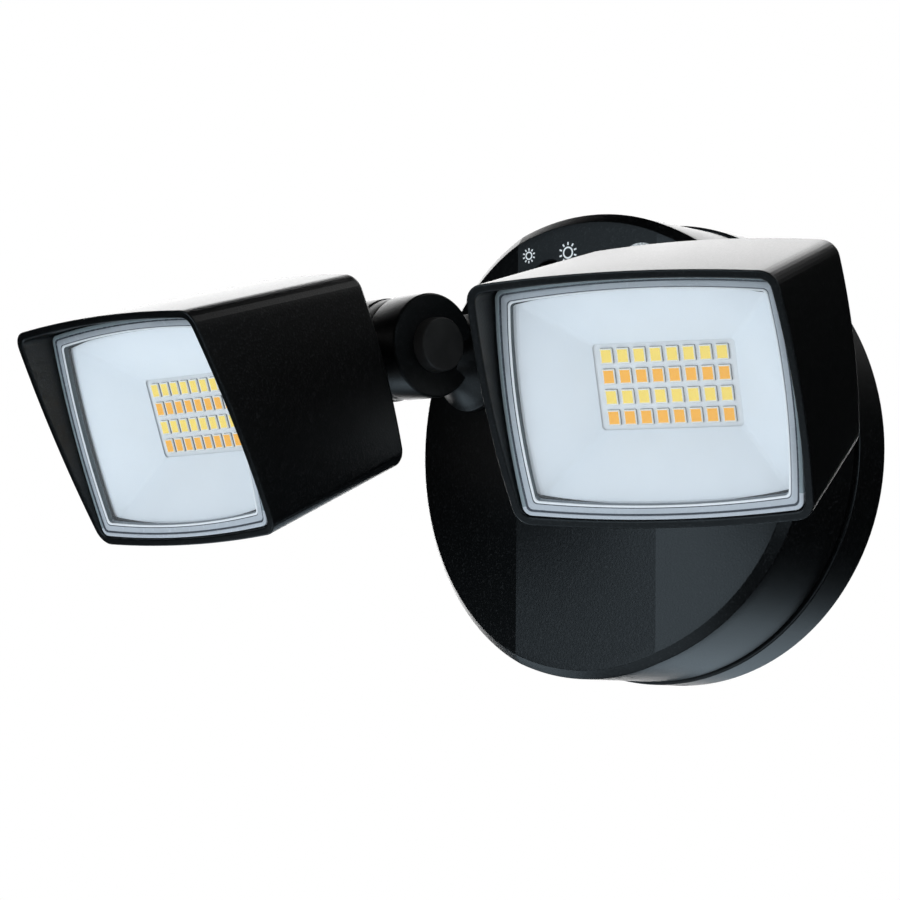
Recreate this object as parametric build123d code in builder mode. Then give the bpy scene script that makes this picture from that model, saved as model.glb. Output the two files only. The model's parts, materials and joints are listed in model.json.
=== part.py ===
from build123d import *
from math import cos, radians, sin, sqrt, tan
import os

# Wall-mounted motion sensor light: a round drum on a canopy, with two adjustable LED heads.
# Millimetres. The wall is the plane Y = 0, the light stands out towards -Y, and +Z is up.

# ---- drum and canopy ----
canopy_diameter = 115.6
canopy_depth = 13.9          # from the wall to the canopy's front face
canopy_wall = 2.4
canopy_floor = 2.5
canopy_edge = 1.0            # rounding of the canopy's rear edge
gasket_thickness = 1.5
gasket_inset = 1.2           # how far the foam stays inside the canopy's edge
gasket_width = 6.0
drum_step = 0.8              # how far the drum's side stands inside the canopy's
drum_depth = 46.8            # from the wall to the flat middle of the front
drum_wall = 2.5
drum_bevel = 2.1
seal_thickness = 0.9
seal_inset = 1.0             # how far the seal lies inside the drum's side, as the dark groove
seal_width = 5.0
middle_width = 41.4          # flat band between the two sloping facets
facet_angle = 12.0
facet_slope = tan(radians(facet_angle))
facet_sine = sin(radians(facet_angle))
facet_cosine = cos(radians(facet_angle))

# ---- mounting bar and its screws ----
bar_thickness = 2.0
bar_width = 26.0
bar_slot_spacing = 88.9      # screw spacing of a four inch outlet box
bar_slot_length = 9.0
bar_slot_width = 5.0
bar_hub_hole = 10.5          # passes a threaded nipple or the wires
ear_height = 10.0            # bent ends of the bar, measured from the wall
ear_width = 15.0
ear_gap = 0.4                # between an ear and the canopy's inside
lock_screw_diameter = 4.0
lock_screw_head = 7.0
lock_screw_length = 9.0
lock_screw_height = 7.0      # from the wall
lock_head_height = 1.2
lock_seat_drop = 0.4         # how far its seat lies inside the middle of the canopy's wall
lock_slot_length = 5.2
lock_slot_depth = 0.8
slot_width = 1.0             # screwdriver slots
earth_screw_offset = 17.0
earth_head_height = 2.2
earth_slot_length = 5.0
earth_slot_depth = 1.4
screw_clearance = 0.1        # radial, around every screw
thread_gap = 0.05            # radial, between a nut and its thread
screw_tip_gap = 1.0          # between a screw's end and the bottom of its hole
overrun = 1.0                # how far a joining or cutting shape runs past the face it crosses

# ---- screws that hold the drum to the canopy ----
drum_screw_turn = 59.24      # degrees from the horizontal to each screw
drum_boss_diameter = 7.4
drum_boss_gap = 1.92         # between a boss and the drum's inside
seal_boss_gap = 0.3
drum_screw_diameter = 3.0
drum_screw_head = 5.6
drum_head_height = 2.2
drum_screw_bite = 10.0       # length inside the boss
wire_grommet_diameter = 16.0
wire_bore_diameter = 7.0
grommet_flange = 1.5

# ---- sensor eye, boards and control knobs ----
eye_height = 6.0             # sensor eye's centre above the drum's centre
eye_radius = 12.0
eye_bulge = 8.5              # how far the lens stands out of the front
eye_skin = 1.0
eye_flange = 2.5
eye_flange_thickness = 1.4
board_thickness = 1.6
board_corner = 2.0
control_board_face = 35.6    # distance of the board's front face from the wall
control_board_width = 37.0
control_board_bottom = -16.0
control_board_gap = 1.764    # between its upper corners' height and the drum's inside
post_diameter = 5.0
post_inset = 3.0             # posts from the control board's sides
post_rise = 5.0              # lower posts above the control board's bottom
post_drop = 13.75            # upper posts below the knobs
post_pilot_depth = 5.0
post_screw_diameter = 2.2
post_screw_length = 6.0
post_head_radius = 2.2
post_head_height = 1.6
knob_drop = 8.75             # knobs below the control board's top
dusk_knob_side = -11.5
time_knob_side = 13.5
knob_recess_radius = 5.6
knob_recess_depth = 4.4
knob_cup_wall = 1.3
knob_radius = 4.7
knob_gap = 0.4               # between the knob and the bottom of its recess
knob_base = 1.5
knob_grip_height = 2.0
knob_grip_width = 2.4
knob_grip_inset = 0.4
knob_grip_turn = 120.0
knob_shaft_radius = 1.8
running_gap = 0.06           # radial, between a turning shaft and its hole
pot_width = 9.5
pot_length = 10.5
pot_corner = 1.0
pot_gap = 0.4
pot_shaft_gap = 0.5          # between the end of a knob's shaft and the control board
sensor_can_radius = 4.1
sensor_can_height = 5.6
sensor_rim_radius = 4.7
sensor_rim_height = 0.8
sensor_window_width = 4.0
sensor_window_height = 3.0
sensor_window_depth = 0.4
driver_board_face = 19.0
driver_board_height = 46.0
driver_board_centre = -9.0
driver_board_gap = 3.116     # between its lower corners and the drum's inside, sideways
driver_post_inset = 5.0
transformer_side = 12.0
transformer_height = 11.0
core_width = 20.0
core_height = 17.0
core_thickness = 2.0
bobbin_width = 12.0
bobbin_height = 14.0
main_capacitor_side = -12.0
main_capacitor_radius = 6.3
main_capacitor_height = 12.5
small_capacitor_side = -27.0
small_capacitor_radius = 4.0
small_capacitor_height = 11.0

# ---- arms ----
arm_inset = 20.9             # swivel axis from the drum's side, on the facet
arm_height = 22.5
moving_gap = 0.3             # between faces that slide past each other
collar_radius = 12.3
collar_thickness = 2.4
collar_edge = 0.8
neck_radius = 6.2
neck_length = 11.2
neck_flare = 1.6             # growth of the neck's radius half way down its flare
shank_radius = 6.0
shank_wall = 2.2
shank_length = 13.0
lock_nut_across = 17.0
lock_nut_thickness = 4.5
lock_washer_radius = 9.0
lock_washer_thickness = 1.0
knuckle_radius = 13.0
knuckle_reach = 18.4         # tilt axis in front of the facet
knuckle_rise = 2.7           # tilt axis above the swivel axis
eye_width = 11.0             # width of the arm's round end
knuckle_edge = 0.8
pivot_screw_radius = 3.0
pivot_head_radius = 4.8
pivot_head_height = 3.2
pivot_screw_end = 1.0        # how far the screw stands out of the lug
hex_key = 4.0
hex_key_depth = 2.0
pivot_cap_radius = 6.9
pivot_cap_height = 3.6
pivot_cap_edge = 1.0
cap_spigot = 2.0
bore_gap = 0.4               # radial, around the tilt screw's head
friction_ring_width = 4.6
ring_edge = 0.4
ring_inset = 0.3             # how far the friction ring stays inside the knuckle's rim
ring_bore_gap = 1.0
pivot_nut_across = 10.0
pivot_nut_height = 4.0

# ---- lamp heads, in a head's own frame: right, up, and out along the beam ----
head_tilt = 19.2             # below the facet's normal, as the light hangs at rest
head_reach = 59.0            # tilt axis to the face of the LED board
head_half_width = 35.29      # at the LED board
head_half_height = 28.39
head_draft = 0.08            # growth of the half sizes for each millimetre forwards
head_side_bow = 1.2
head_top_bow = 2.9
head_corner = 4.5
least_corner = 1.2
head_back = 35.5             # behind the board
rim_top = 21.9               # rim in front of the board at its highest point
rim_bottom = 12.8
rim_wall = 2.0
rim_spare = 3.0              # height of the plain shell above the rim, before the rim is cut
rim_cut_margin = 9.0
back_wall = 3.0
back_edge = 3.5
seat_wall = 3.8              # wall behind the lens seat
lens_front = 13.0
lens_thickness = 2.2
lens_gap = 0.3
lens_ledge = 2.0             # raised border of the lens
lens_recess = 0.6
lens_gasket_thickness = 0.6
lens_gasket_width = 2.6
reflector_wall = 1.2
reflector_gap = 0.4
reflector_drop = 0.3         # top of the reflector below the lens seat
reflector_flange = 2.4
window_width = 34.0          # reflector's opening at the LED board
window_height = 19.6
window_corner = 1.0
led_board_width = 48.0
led_board_height = 32.0
led_columns = 8
led_rows = 4
led_pitch_across = 3.88
led_pitch_up = 4.66
led_width = 3.0
led_length = 3.8
led_thickness = 0.7
sink_base = 3.0
sink_depth = 20.0
sink_fins = 7
sink_fin_thickness = 1.6
sink_fin_gap = 0.4           # between the outer fins and the bosses
head_boss_across = 41.0
head_boss_up = 24.0
head_boss_diameter = 6.5
head_screw_diameter = 2.9
head_screw_head = 5.0
head_head_height = 1.4
head_screw_bite = 9.0
lug_width = 13.0
lug_root_width = 20.0
lug_root_height = 22.0
lug_height = 20.0
lug_corner = 4.0

# ---- derived sizes ----
canopy_radius = canopy_diameter / 2
drum_radius = canopy_radius - drum_step
drum_back = canopy_depth + seal_thickness
drum_inner_radius = drum_radius - drum_wall
drum_inner_front = drum_depth - drum_wall
drum_screw_reach = drum_inner_radius - drum_boss_diameter / 2 - drum_boss_gap
drum_screw_across = 2 * drum_screw_reach * cos(radians(drum_screw_turn))
drum_screw_up = 2 * drum_screw_reach * sin(radians(drum_screw_turn))
control_board_top = sqrt(drum_inner_radius**2 - (control_board_width / 2) ** 2) - control_board_gap
knob_height = control_board_top - knob_drop
post_across = control_board_width - 2 * post_inset
post_low = control_board_bottom + post_rise
post_high = knob_height - post_drop
driver_board_reach = driver_board_height / 2 - driver_board_centre
driver_board_width = 2 * (sqrt(drum_inner_radius**2 - driver_board_reach**2) - driver_board_gap)
driver_post_across = driver_board_width - 2 * driver_post_inset
driver_post_up = driver_board_height - 2 * driver_post_inset
arm_side = drum_radius - arm_inset
lock_seat = canopy_radius - canopy_wall / 2 - lock_seat_drop
knob_recess_floor = drum_depth - knob_recess_depth
knob_cup_floor = knob_recess_floor - knob_cup_wall
ear_outer = canopy_radius - canopy_wall - ear_gap
ear_reach = sqrt(ear_outer**2 - (ear_width / 2) ** 2)
ring_start = eye_width / 2 + moving_gap      # distances from the arm's middle plane
lug_start = ring_start + friction_ring_width
lug_end = lug_start + lug_width
head_side = (lug_start + lug_end) / 2
pivot_screw_seat = eye_width / 2 - cap_spigot - pivot_head_height
sides = {"left": -1, "right": 1}
knob_sides = {"dusk_knob": dusk_knob_side, "time_knob": time_knob_side}

os.makedirs("parts", exist_ok=True)

# The wall plane seen from the room: X right, Y up, and the offset is the distance from the wall.
wall = Plane(origin=(0, 0, 0), x_dir=(1, 0, 0), z_dir=(0, -1, 0))


def finish(builder, name):
    """Label a finished piece and write it under its own name."""
    builder.part.label = name
    export_step(builder.part, f"parts/{name}.step")


def facet_plane(side):
    """Outer face of one sloping facet at its arm: X right, Y up, Z out of the face."""
    depth = drum_depth - (arm_side - middle_width / 2) * facet_slope
    return Plane(
        origin=(side * arm_side, -depth, arm_height),
        x_dir=(facet_cosine, side * facet_sine, 0),
        z_dir=(side * facet_sine, -facet_cosine, 0),
    )


def knuckle_plane(side):
    """Plane across the tilt axis: its normal runs from the head's lug to the arm's outer face."""
    facet = facet_plane(side)
    centre = facet.from_local_coords(Vector(0, knuckle_rise, knuckle_reach))
    return Plane(origin=centre, x_dir=facet.z_dir, z_dir=facet.x_dir * -side)


def head_plane(side):
    """Face of a head's LED board: X right, Y up, Z out along the beam."""
    facet = facet_plane(side)
    tilt = radians(head_tilt)
    beam = facet.z_dir * cos(tilt) - facet.y_dir * sin(tilt)
    pivot = facet.from_local_coords(Vector(side * head_side, knuckle_rise, knuckle_reach))
    return Plane(origin=pivot + beam * head_reach, x_dir=facet.x_dir, z_dir=beam)


def drum_outline(inset):
    """Top view of the drum: flat in the middle, with a sloping facet on each side."""
    front = -(drum_depth - inset)
    edge = drum_radius + overrun
    bend = middle_width / 2 - inset * tan(radians(facet_angle / 2))
    slope_end = front + (edge - bend) * facet_slope
    Polyline(
        (-edge, 0),
        (edge, 0),
        (edge, slope_end),
        (bend, front),
        (-bend, front),
        (-edge, slope_end),
        close=True,
    )


def head_section(plane, forward, inset=0.0):
    """Section of a head's shell in front of its LED board: bowed sides with rounded corners."""
    half_width = head_half_width + head_draft * forward - inset
    half_height = head_half_height + head_draft * forward - inset
    corner_x = half_width - head_side_bow
    corner_y = half_height - head_top_bow
    with BuildSketch(plane.offset(forward)) as section:
        with BuildLine():
            ThreePointArc((corner_x, -corner_y), (half_width, 0), (corner_x, corner_y))
            ThreePointArc((corner_x, corner_y), (0, half_height), (-corner_x, corner_y))
            ThreePointArc((-corner_x, corner_y), (-half_width, 0), (-corner_x, -corner_y))
            ThreePointArc((-corner_x, -corner_y), (0, -half_height), (corner_x, -corner_y))
        make_face()
        fillet(section.vertices(), max(head_corner - inset, least_corner))
    return section.sketch


def head_body(plane, back, front, inset=0.0):
    """Solid between two sections of a head's shell."""
    with BuildPart() as body:
        loft([head_section(plane, back, inset), head_section(plane, front, inset)], ruled=True)
    return body.part


def flat_screw(plane, thread_radius, head_radius, head_height, length):
    """Screw whose head stands on the plane, with its thread going back from it."""
    with BuildPart() as screw:
        with BuildSketch(plane):
            Circle(head_radius)
        extrude(amount=head_height)
        with BuildSketch(plane):
            Circle(thread_radius)
        extrude(amount=-length)
    return screw.part


def round_end(plane, width):
    """Knuckle disc standing on the plane, with both its rims broken."""
    with BuildPart() as disc:
        with BuildSketch(plane):
            Circle(knuckle_radius)
        extrude(amount=width)
        chamfer(disc.edges().filter_by(GeomType.CIRCLE), knuckle_edge)
    return disc.part


# ---------------------------------------------------------------- wall side
with BuildPart() as mounting_bar:
    with BuildSketch(wall):
        Rectangle(bar_width, 2 * ear_reach)
        Circle(ear_outer, mode=Mode.INTERSECT)
        with Locations((0, bar_slot_spacing / 2), (0, -bar_slot_spacing / 2)):
            SlotOverall(bar_slot_length, bar_slot_width, rotation=90, mode=Mode.SUBTRACT)
        Circle(bar_hub_hole / 2, mode=Mode.SUBTRACT)
        with Locations((0, earth_screw_offset)):
            Circle(lock_screw_diameter / 2 + screw_clearance, mode=Mode.SUBTRACT)
    extrude(amount=bar_thickness)
    with BuildSketch(wall.offset(bar_thickness)):
        with Locations((0, ear_reach - bar_thickness / 2), (0, bar_thickness / 2 - ear_reach)):
            Rectangle(ear_width, bar_thickness)
    extrude(amount=ear_height - bar_thickness)
    with BuildSketch(Plane.XY.offset(-ear_outer - overrun)):
        with Locations((0, -lock_screw_height)):
            Circle(lock_screw_diameter / 2 + screw_clearance)
    extrude(amount=2 * (ear_outer + overrun), mode=Mode.SUBTRACT)
finish(mounting_bar, "mounting_bar")

earth_screw_seat = wall.offset(bar_thickness)
with BuildPart() as earth_screw:
    with Locations(earth_screw_seat):
        with Locations((0, earth_screw_offset, 0)):
            Cylinder(lock_screw_head / 2, earth_head_height, align=(Align.CENTER, Align.CENTER, Align.MIN))
            Cylinder(lock_screw_diameter / 2, bar_thickness, align=(Align.CENTER, Align.CENTER, Align.MAX))
            with Locations((0, 0, earth_head_height)):
                Box(
                    earth_slot_length,
                    slot_width,
                    earth_slot_depth,
                    align=(Align.CENTER, Align.CENTER, Align.MAX),
                    mode=Mode.SUBTRACT,
                )
finish(earth_screw, "earth_screw")

with BuildPart() as wall_gasket:
    with BuildSketch(wall):
        Circle(canopy_radius - gasket_inset)
        Circle(canopy_radius - gasket_inset - gasket_width, mode=Mode.SUBTRACT)
    extrude(amount=gasket_thickness)
    # notches for the ends of the mounting bar
    with BuildSketch(wall):
        Rectangle(bar_width + 2 * ear_gap, 2 * (ear_reach + ear_gap))
        Circle(ear_outer + ear_gap, mode=Mode.INTERSECT)
    extrude(amount=gasket_thickness, mode=Mode.SUBTRACT)
finish(wall_gasket, "wall_gasket")

with BuildPart() as canopy:
    with BuildSketch(wall.offset(gasket_thickness)):
        Circle(canopy_radius)
    extrude(amount=canopy_depth - gasket_thickness)
    fillet(canopy.edges().sort_by(Axis.Y)[-1], canopy_edge)
    with BuildSketch(wall.offset(gasket_thickness)):
        Circle(canopy_radius - canopy_wall)
    extrude(amount=canopy_depth - canopy_floor - gasket_thickness, mode=Mode.SUBTRACT)
    with BuildSketch(wall.offset(gasket_thickness)):
        with GridLocations(drum_screw_across, drum_screw_up, 2, 2):
            Circle(drum_screw_diameter / 2 + screw_clearance)
        with Locations((0, -earth_screw_offset)):
            Circle(wire_grommet_diameter / 2)
    extrude(amount=canopy_depth, mode=Mode.SUBTRACT)
    for end in (1, -1):
        with BuildSketch(Plane.XY.offset(end * (canopy_radius + overrun))):
            with Locations((0, -lock_screw_height)):
                Circle(lock_screw_head / 2 + screw_clearance)
        extrude(amount=-end * (canopy_radius + overrun - lock_seat), mode=Mode.SUBTRACT)
        with BuildSketch(Plane.XY.offset(end * canopy_radius)):
            with Locations((0, -lock_screw_height)):
                Circle(lock_screw_diameter / 2 + screw_clearance)
        extrude(amount=-end * 2 * canopy_wall, mode=Mode.SUBTRACT)
finish(canopy, "canopy")

with BuildPart() as canopy_lock_screws:
    for end in (1, -1):
        seat = Plane(origin=(0, -lock_screw_height, end * lock_seat), x_dir=(1, 0, 0), z_dir=(0, 0, end))
        thread_radius = lock_screw_diameter / 2
        add(flat_screw(seat, thread_radius, lock_screw_head / 2, lock_head_height, lock_screw_length))
        with BuildSketch(seat.offset(lock_head_height)):
            Rectangle(lock_slot_length, slot_width)
            Rectangle(slot_width, lock_slot_length)
        extrude(amount=-lock_slot_depth, mode=Mode.SUBTRACT)
finish(canopy_lock_screws, "canopy_lock_screws")

with BuildPart() as wire_grommet:
    with Locations(wall.offset(canopy_depth - canopy_floor)):
        with Locations((0, -earth_screw_offset, 0)):
            Cylinder(wire_grommet_diameter / 2, canopy_floor, align=(Align.CENTER, Align.CENTER, Align.MIN))
            with Locations((0, 0, -grommet_flange)):
                Cylinder(
                    wire_grommet_diameter / 2 + grommet_flange,
                    grommet_flange,
                    align=(Align.CENTER, Align.CENTER, Align.MIN),
                )
            Cylinder(wire_bore_diameter / 2, 4 * canopy_floor, mode=Mode.SUBTRACT)
finish(wire_grommet, "wire_grommet")

with BuildPart() as drum_seal:
    with BuildSketch(wall.offset(canopy_depth)):
        Circle(drum_radius - seal_inset)
        Circle(drum_radius - seal_inset - seal_width, mode=Mode.SUBTRACT)
        with GridLocations(drum_screw_across, drum_screw_up, 2, 2):
            Circle(drum_boss_diameter / 2 + seal_boss_gap, mode=Mode.SUBTRACT)
    extrude(amount=seal_thickness)
finish(drum_seal, "drum_seal")

# ---------------------------------------------------------------- drum shell
with BuildPart() as drum_inside:
    with BuildSketch(wall.offset(drum_back - overrun)):
        Circle(drum_inner_radius)
    extrude(amount=drum_depth)
    with BuildSketch(Plane.XY):
        with BuildLine():
            drum_outline(drum_wall)
        make_face()
    extrude(amount=drum_radius + overrun, both=True, mode=Mode.INTERSECT)

with BuildPart() as drum_housing:
    with BuildSketch(wall.offset(drum_back)):
        Circle(drum_radius)
    extrude(amount=drum_depth)
    with BuildSketch(Plane.XY):
        with BuildLine():
            drum_outline(0)
        make_face()
    extrude(amount=drum_radius + overrun, both=True, mode=Mode.INTERSECT)
    front_edges = drum_housing.edges().filter_by(GeomType.LINE, reverse=True)
    chamfer(front_edges.filter_by(lambda e: e.center().Y < -drum_back - overrun), drum_bevel)
    add(drum_inside.part, mode=Mode.SUBTRACT)
    # bosses for the screws from the canopy, and posts for the two boards
    with BuildSketch(wall.offset(canopy_depth)) as boss_rings:
        with GridLocations(drum_screw_across, drum_screw_up, 2, 2):
            Circle(drum_boss_diameter / 2)
    extrude(amount=drum_inner_front - canopy_depth)
    with BuildSketch(wall.offset(control_board_face)):
        with Locations((0, (post_low + post_high) / 2)):
            with GridLocations(post_across, post_high - post_low, 2, 2):
                Circle(post_diameter / 2)
    extrude(amount=drum_inner_front - control_board_face)
    with BuildSketch(wall.offset(driver_board_face)):
        with Locations((0, driver_board_centre)):
            with GridLocations(driver_post_across, driver_post_up, 2, 2):
                Circle(post_diameter / 2)
    extrude(until=Until.NEXT)
    # cups around the knobs
    with BuildSketch(wall.offset(knob_cup_floor)):
        with Locations((dusk_knob_side, knob_height), (time_knob_side, knob_height)):
            Circle(knob_recess_radius + knob_cup_wall)
    extrude(amount=drum_inner_front - knob_cup_floor)
    with BuildSketch(wall.offset(drum_depth)):
        with Locations((dusk_knob_side, knob_height), (time_knob_side, knob_height)):
            Circle(knob_recess_radius)
    extrude(amount=-knob_recess_depth, mode=Mode.SUBTRACT)
    with BuildSketch(wall.offset(drum_depth)):
        with Locations((dusk_knob_side, knob_height), (time_knob_side, knob_height)):
            Circle(knob_shaft_radius + running_gap)
        with Locations((0, eye_height)):
            Circle(eye_radius + screw_clearance)
    extrude(amount=-(drum_depth - control_board_face), mode=Mode.SUBTRACT)
    # pilot holes
    with BuildSketch(wall.offset(canopy_depth)):
        with GridLocations(drum_screw_across, drum_screw_up, 2, 2):
            Circle(drum_screw_diameter / 2 + screw_clearance)
    extrude(amount=drum_screw_bite + screw_tip_gap, mode=Mode.SUBTRACT)
    with BuildSketch(wall.offset(control_board_face)):
        with Locations((0, (post_low + post_high) / 2)):
            with GridLocations(post_across, post_high - post_low, 2, 2):
                Circle(post_screw_diameter / 2 + screw_clearance)
    extrude(amount=post_pilot_depth, mode=Mode.SUBTRACT)
    with BuildSketch(wall.offset(driver_board_face)):
        with Locations((0, driver_board_centre)):
            with GridLocations(driver_post_across, driver_post_up, 2, 2):
                Circle(post_screw_diameter / 2 + screw_clearance)
    extrude(amount=post_pilot_depth, mode=Mode.SUBTRACT)
    # swivel holes through the facets
    for side in sides.values():
        with BuildSketch(facet_plane(side)):
            Circle(shank_radius + running_gap)
        extrude(amount=2 * drum_wall, both=True, mode=Mode.SUBTRACT)
finish(drum_housing, "drum_housing")

with BuildPart() as drum_screws:
    with Locations(wall.offset(canopy_depth - canopy_floor)):
        with GridLocations(drum_screw_across, drum_screw_up, 2, 2):
            Cylinder(drum_screw_head / 2, drum_head_height, align=(Align.CENTER, Align.CENTER, Align.MAX))
            Cylinder(
                drum_screw_diameter / 2,
                canopy_floor + drum_screw_bite,
                align=(Align.CENTER, Align.CENTER, Align.MIN),
            )
finish(drum_screws, "drum_screws")

# ---------------------------------------------------------------- sensor eye
dome_radius = (eye_radius**2 + eye_bulge**2) / (2 * eye_bulge)
dome_centre = dome_radius - eye_bulge - drum_depth
skirt_back = -drum_inner_front + eye_flange_thickness
with BuildPart() as sensor_lens:
    with BuildSketch(Plane.YZ):
        with Locations((dome_centre, eye_height)):
            Circle(dome_radius)
            Circle(dome_radius - eye_skin, mode=Mode.SUBTRACT)
        with Locations((-drum_depth, eye_height)):
            Rectangle(dome_radius, dome_radius, align=(Align.MAX, Align.MIN), mode=Mode.INTERSECT)
        # skirt through the front, and the flange behind it
        with Locations((-drum_depth, eye_height + eye_radius)):
            Rectangle(skirt_back + drum_depth, eye_skin, align=(Align.MIN, Align.MAX))
        with Locations((skirt_back, eye_height + eye_radius + eye_flange)):
            Rectangle(eye_flange_thickness, eye_flange + eye_skin, align=(Align.MAX, Align.MAX))
    revolve(axis=Axis((0, 0, eye_height), (0, 1, 0)))
finish(sensor_lens, "sensor_lens")

with BuildPart() as control_board:
    with BuildSketch(wall.offset(control_board_face - board_thickness)):
        with Locations((0, (control_board_top + control_board_bottom) / 2)):
            RectangleRounded(control_board_width, control_board_top - control_board_bottom, board_corner)
        with Locations((0, (post_low + post_high) / 2)):
            with GridLocations(post_across, post_high - post_low, 2, 2):
                Circle(post_screw_diameter / 2 + screw_clearance, mode=Mode.SUBTRACT)
    extrude(amount=board_thickness)
finish(control_board, "control_board")

with BuildPart() as sensor_element:
    with Locations(wall.offset(control_board_face)):
        with Locations((0, eye_height, 0)):
            Cylinder(sensor_can_radius, sensor_can_height, align=(Align.CENTER, Align.CENTER, Align.MIN))
            Cylinder(sensor_rim_radius, sensor_rim_height, align=(Align.CENTER, Align.CENTER, Align.MIN))
            with Locations((0, 0, sensor_can_height)):
                Box(
                    sensor_window_width,
                    sensor_window_height,
                    sensor_window_depth,
                    align=(Align.CENTER, Align.CENTER, Align.MAX),
                    mode=Mode.SUBTRACT,
                )
finish(sensor_element, "sensor_element")

pot_height = knob_cup_floor - pot_gap - control_board_face
with BuildPart() as potentiometers:
    with BuildSketch(wall.offset(control_board_face)):
        with Locations((dusk_knob_side, knob_height), (time_knob_side, knob_height)):
            RectangleRounded(pot_width, pot_length, pot_corner)
            Circle(knob_shaft_radius + running_gap, mode=Mode.SUBTRACT)
    extrude(amount=pot_height)
finish(potentiometers, "potentiometers")

screw_foot = Plane(origin=(0, 0, 0), x_dir=(1, 0, 0), z_dir=(0, 0, -1))
post_screw = flat_screw(
    screw_foot, post_screw_diameter / 2, post_head_radius, post_head_height, post_screw_length
)
with BuildPart() as board_screws:
    with Locations(wall.offset(control_board_face - board_thickness)):
        with Locations((0, (post_low + post_high) / 2)):
            with GridLocations(post_across, post_high - post_low, 2, 2):
                add(post_screw)
    with Locations(wall.offset(driver_board_face - board_thickness)):
        with Locations((0, driver_board_centre)):
            with GridLocations(driver_post_across, driver_post_up, 2, 2):
                add(post_screw)
finish(board_screws, "board_screws")

with BuildPart() as driver_board:
    with BuildSketch(wall.offset(driver_board_face - board_thickness)):
        with Locations((0, driver_board_centre)):
            RectangleRounded(driver_board_width, driver_board_height, board_corner)
            with GridLocations(driver_post_across, driver_post_up, 2, 2):
                Circle(post_screw_diameter / 2 + screw_clearance, mode=Mode.SUBTRACT)
    extrude(amount=board_thickness)
finish(driver_board, "driver_board")

with BuildPart() as driver_transformer:
    with Locations(wall.offset(driver_board_face)):
        with Locations((transformer_side, driver_board_centre, 0)):
            Box(core_width, core_height, core_thickness, align=(Align.CENTER, Align.CENTER, Align.MIN))
            Box(
                bobbin_width,
                bobbin_height,
                transformer_height,
                align=(Align.CENTER, Align.CENTER, Align.MIN),
            )
            with Locations((0, 0, transformer_height)):
                Box(core_width, core_height, core_thickness, align=(Align.CENTER, Align.CENTER, Align.MAX))
finish(driver_transformer, "driver_transformer")

with BuildPart() as driver_capacitors:
    with Locations(wall.offset(driver_board_face)):
        with Locations((main_capacitor_side, driver_board_centre, 0)):
            Cylinder(
                main_capacitor_radius, main_capacitor_height, align=(Align.CENTER, Align.CENTER, Align.MIN)
            )
        with Locations((small_capacitor_side, driver_board_centre, 0)):
            Cylinder(
                small_capacitor_radius, small_capacitor_height, align=(Align.CENTER, Align.CENTER, Align.MIN)
            )
finish(driver_capacitors, "driver_capacitors")

# ---------------------------------------------------------------- knobs
for knob_name, knob_side in knob_sides.items():
    knob_bottom = wall.offset(knob_recess_floor + knob_gap)
    knob_shaft_length = knob_gap + knob_cup_wall + pot_gap + pot_height - pot_shaft_gap
    with BuildPart() as knob:
        with BuildSketch(knob_bottom):
            with Locations((knob_side, knob_height)):
                Circle(knob_radius)
        extrude(amount=knob_base)
        with BuildSketch(knob_bottom.offset(knob_base)):
            with Locations((knob_side, knob_height)):
                SlotOverall(2 * (knob_radius - knob_grip_inset), knob_grip_width, rotation=knob_grip_turn)
        extrude(amount=knob_grip_height)
        with BuildSketch(knob_bottom):
            with Locations((knob_side, knob_height)):
                Circle(knob_shaft_radius)
        extrude(amount=-knob_shaft_length)
    finish(knob, knob_name)

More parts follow.
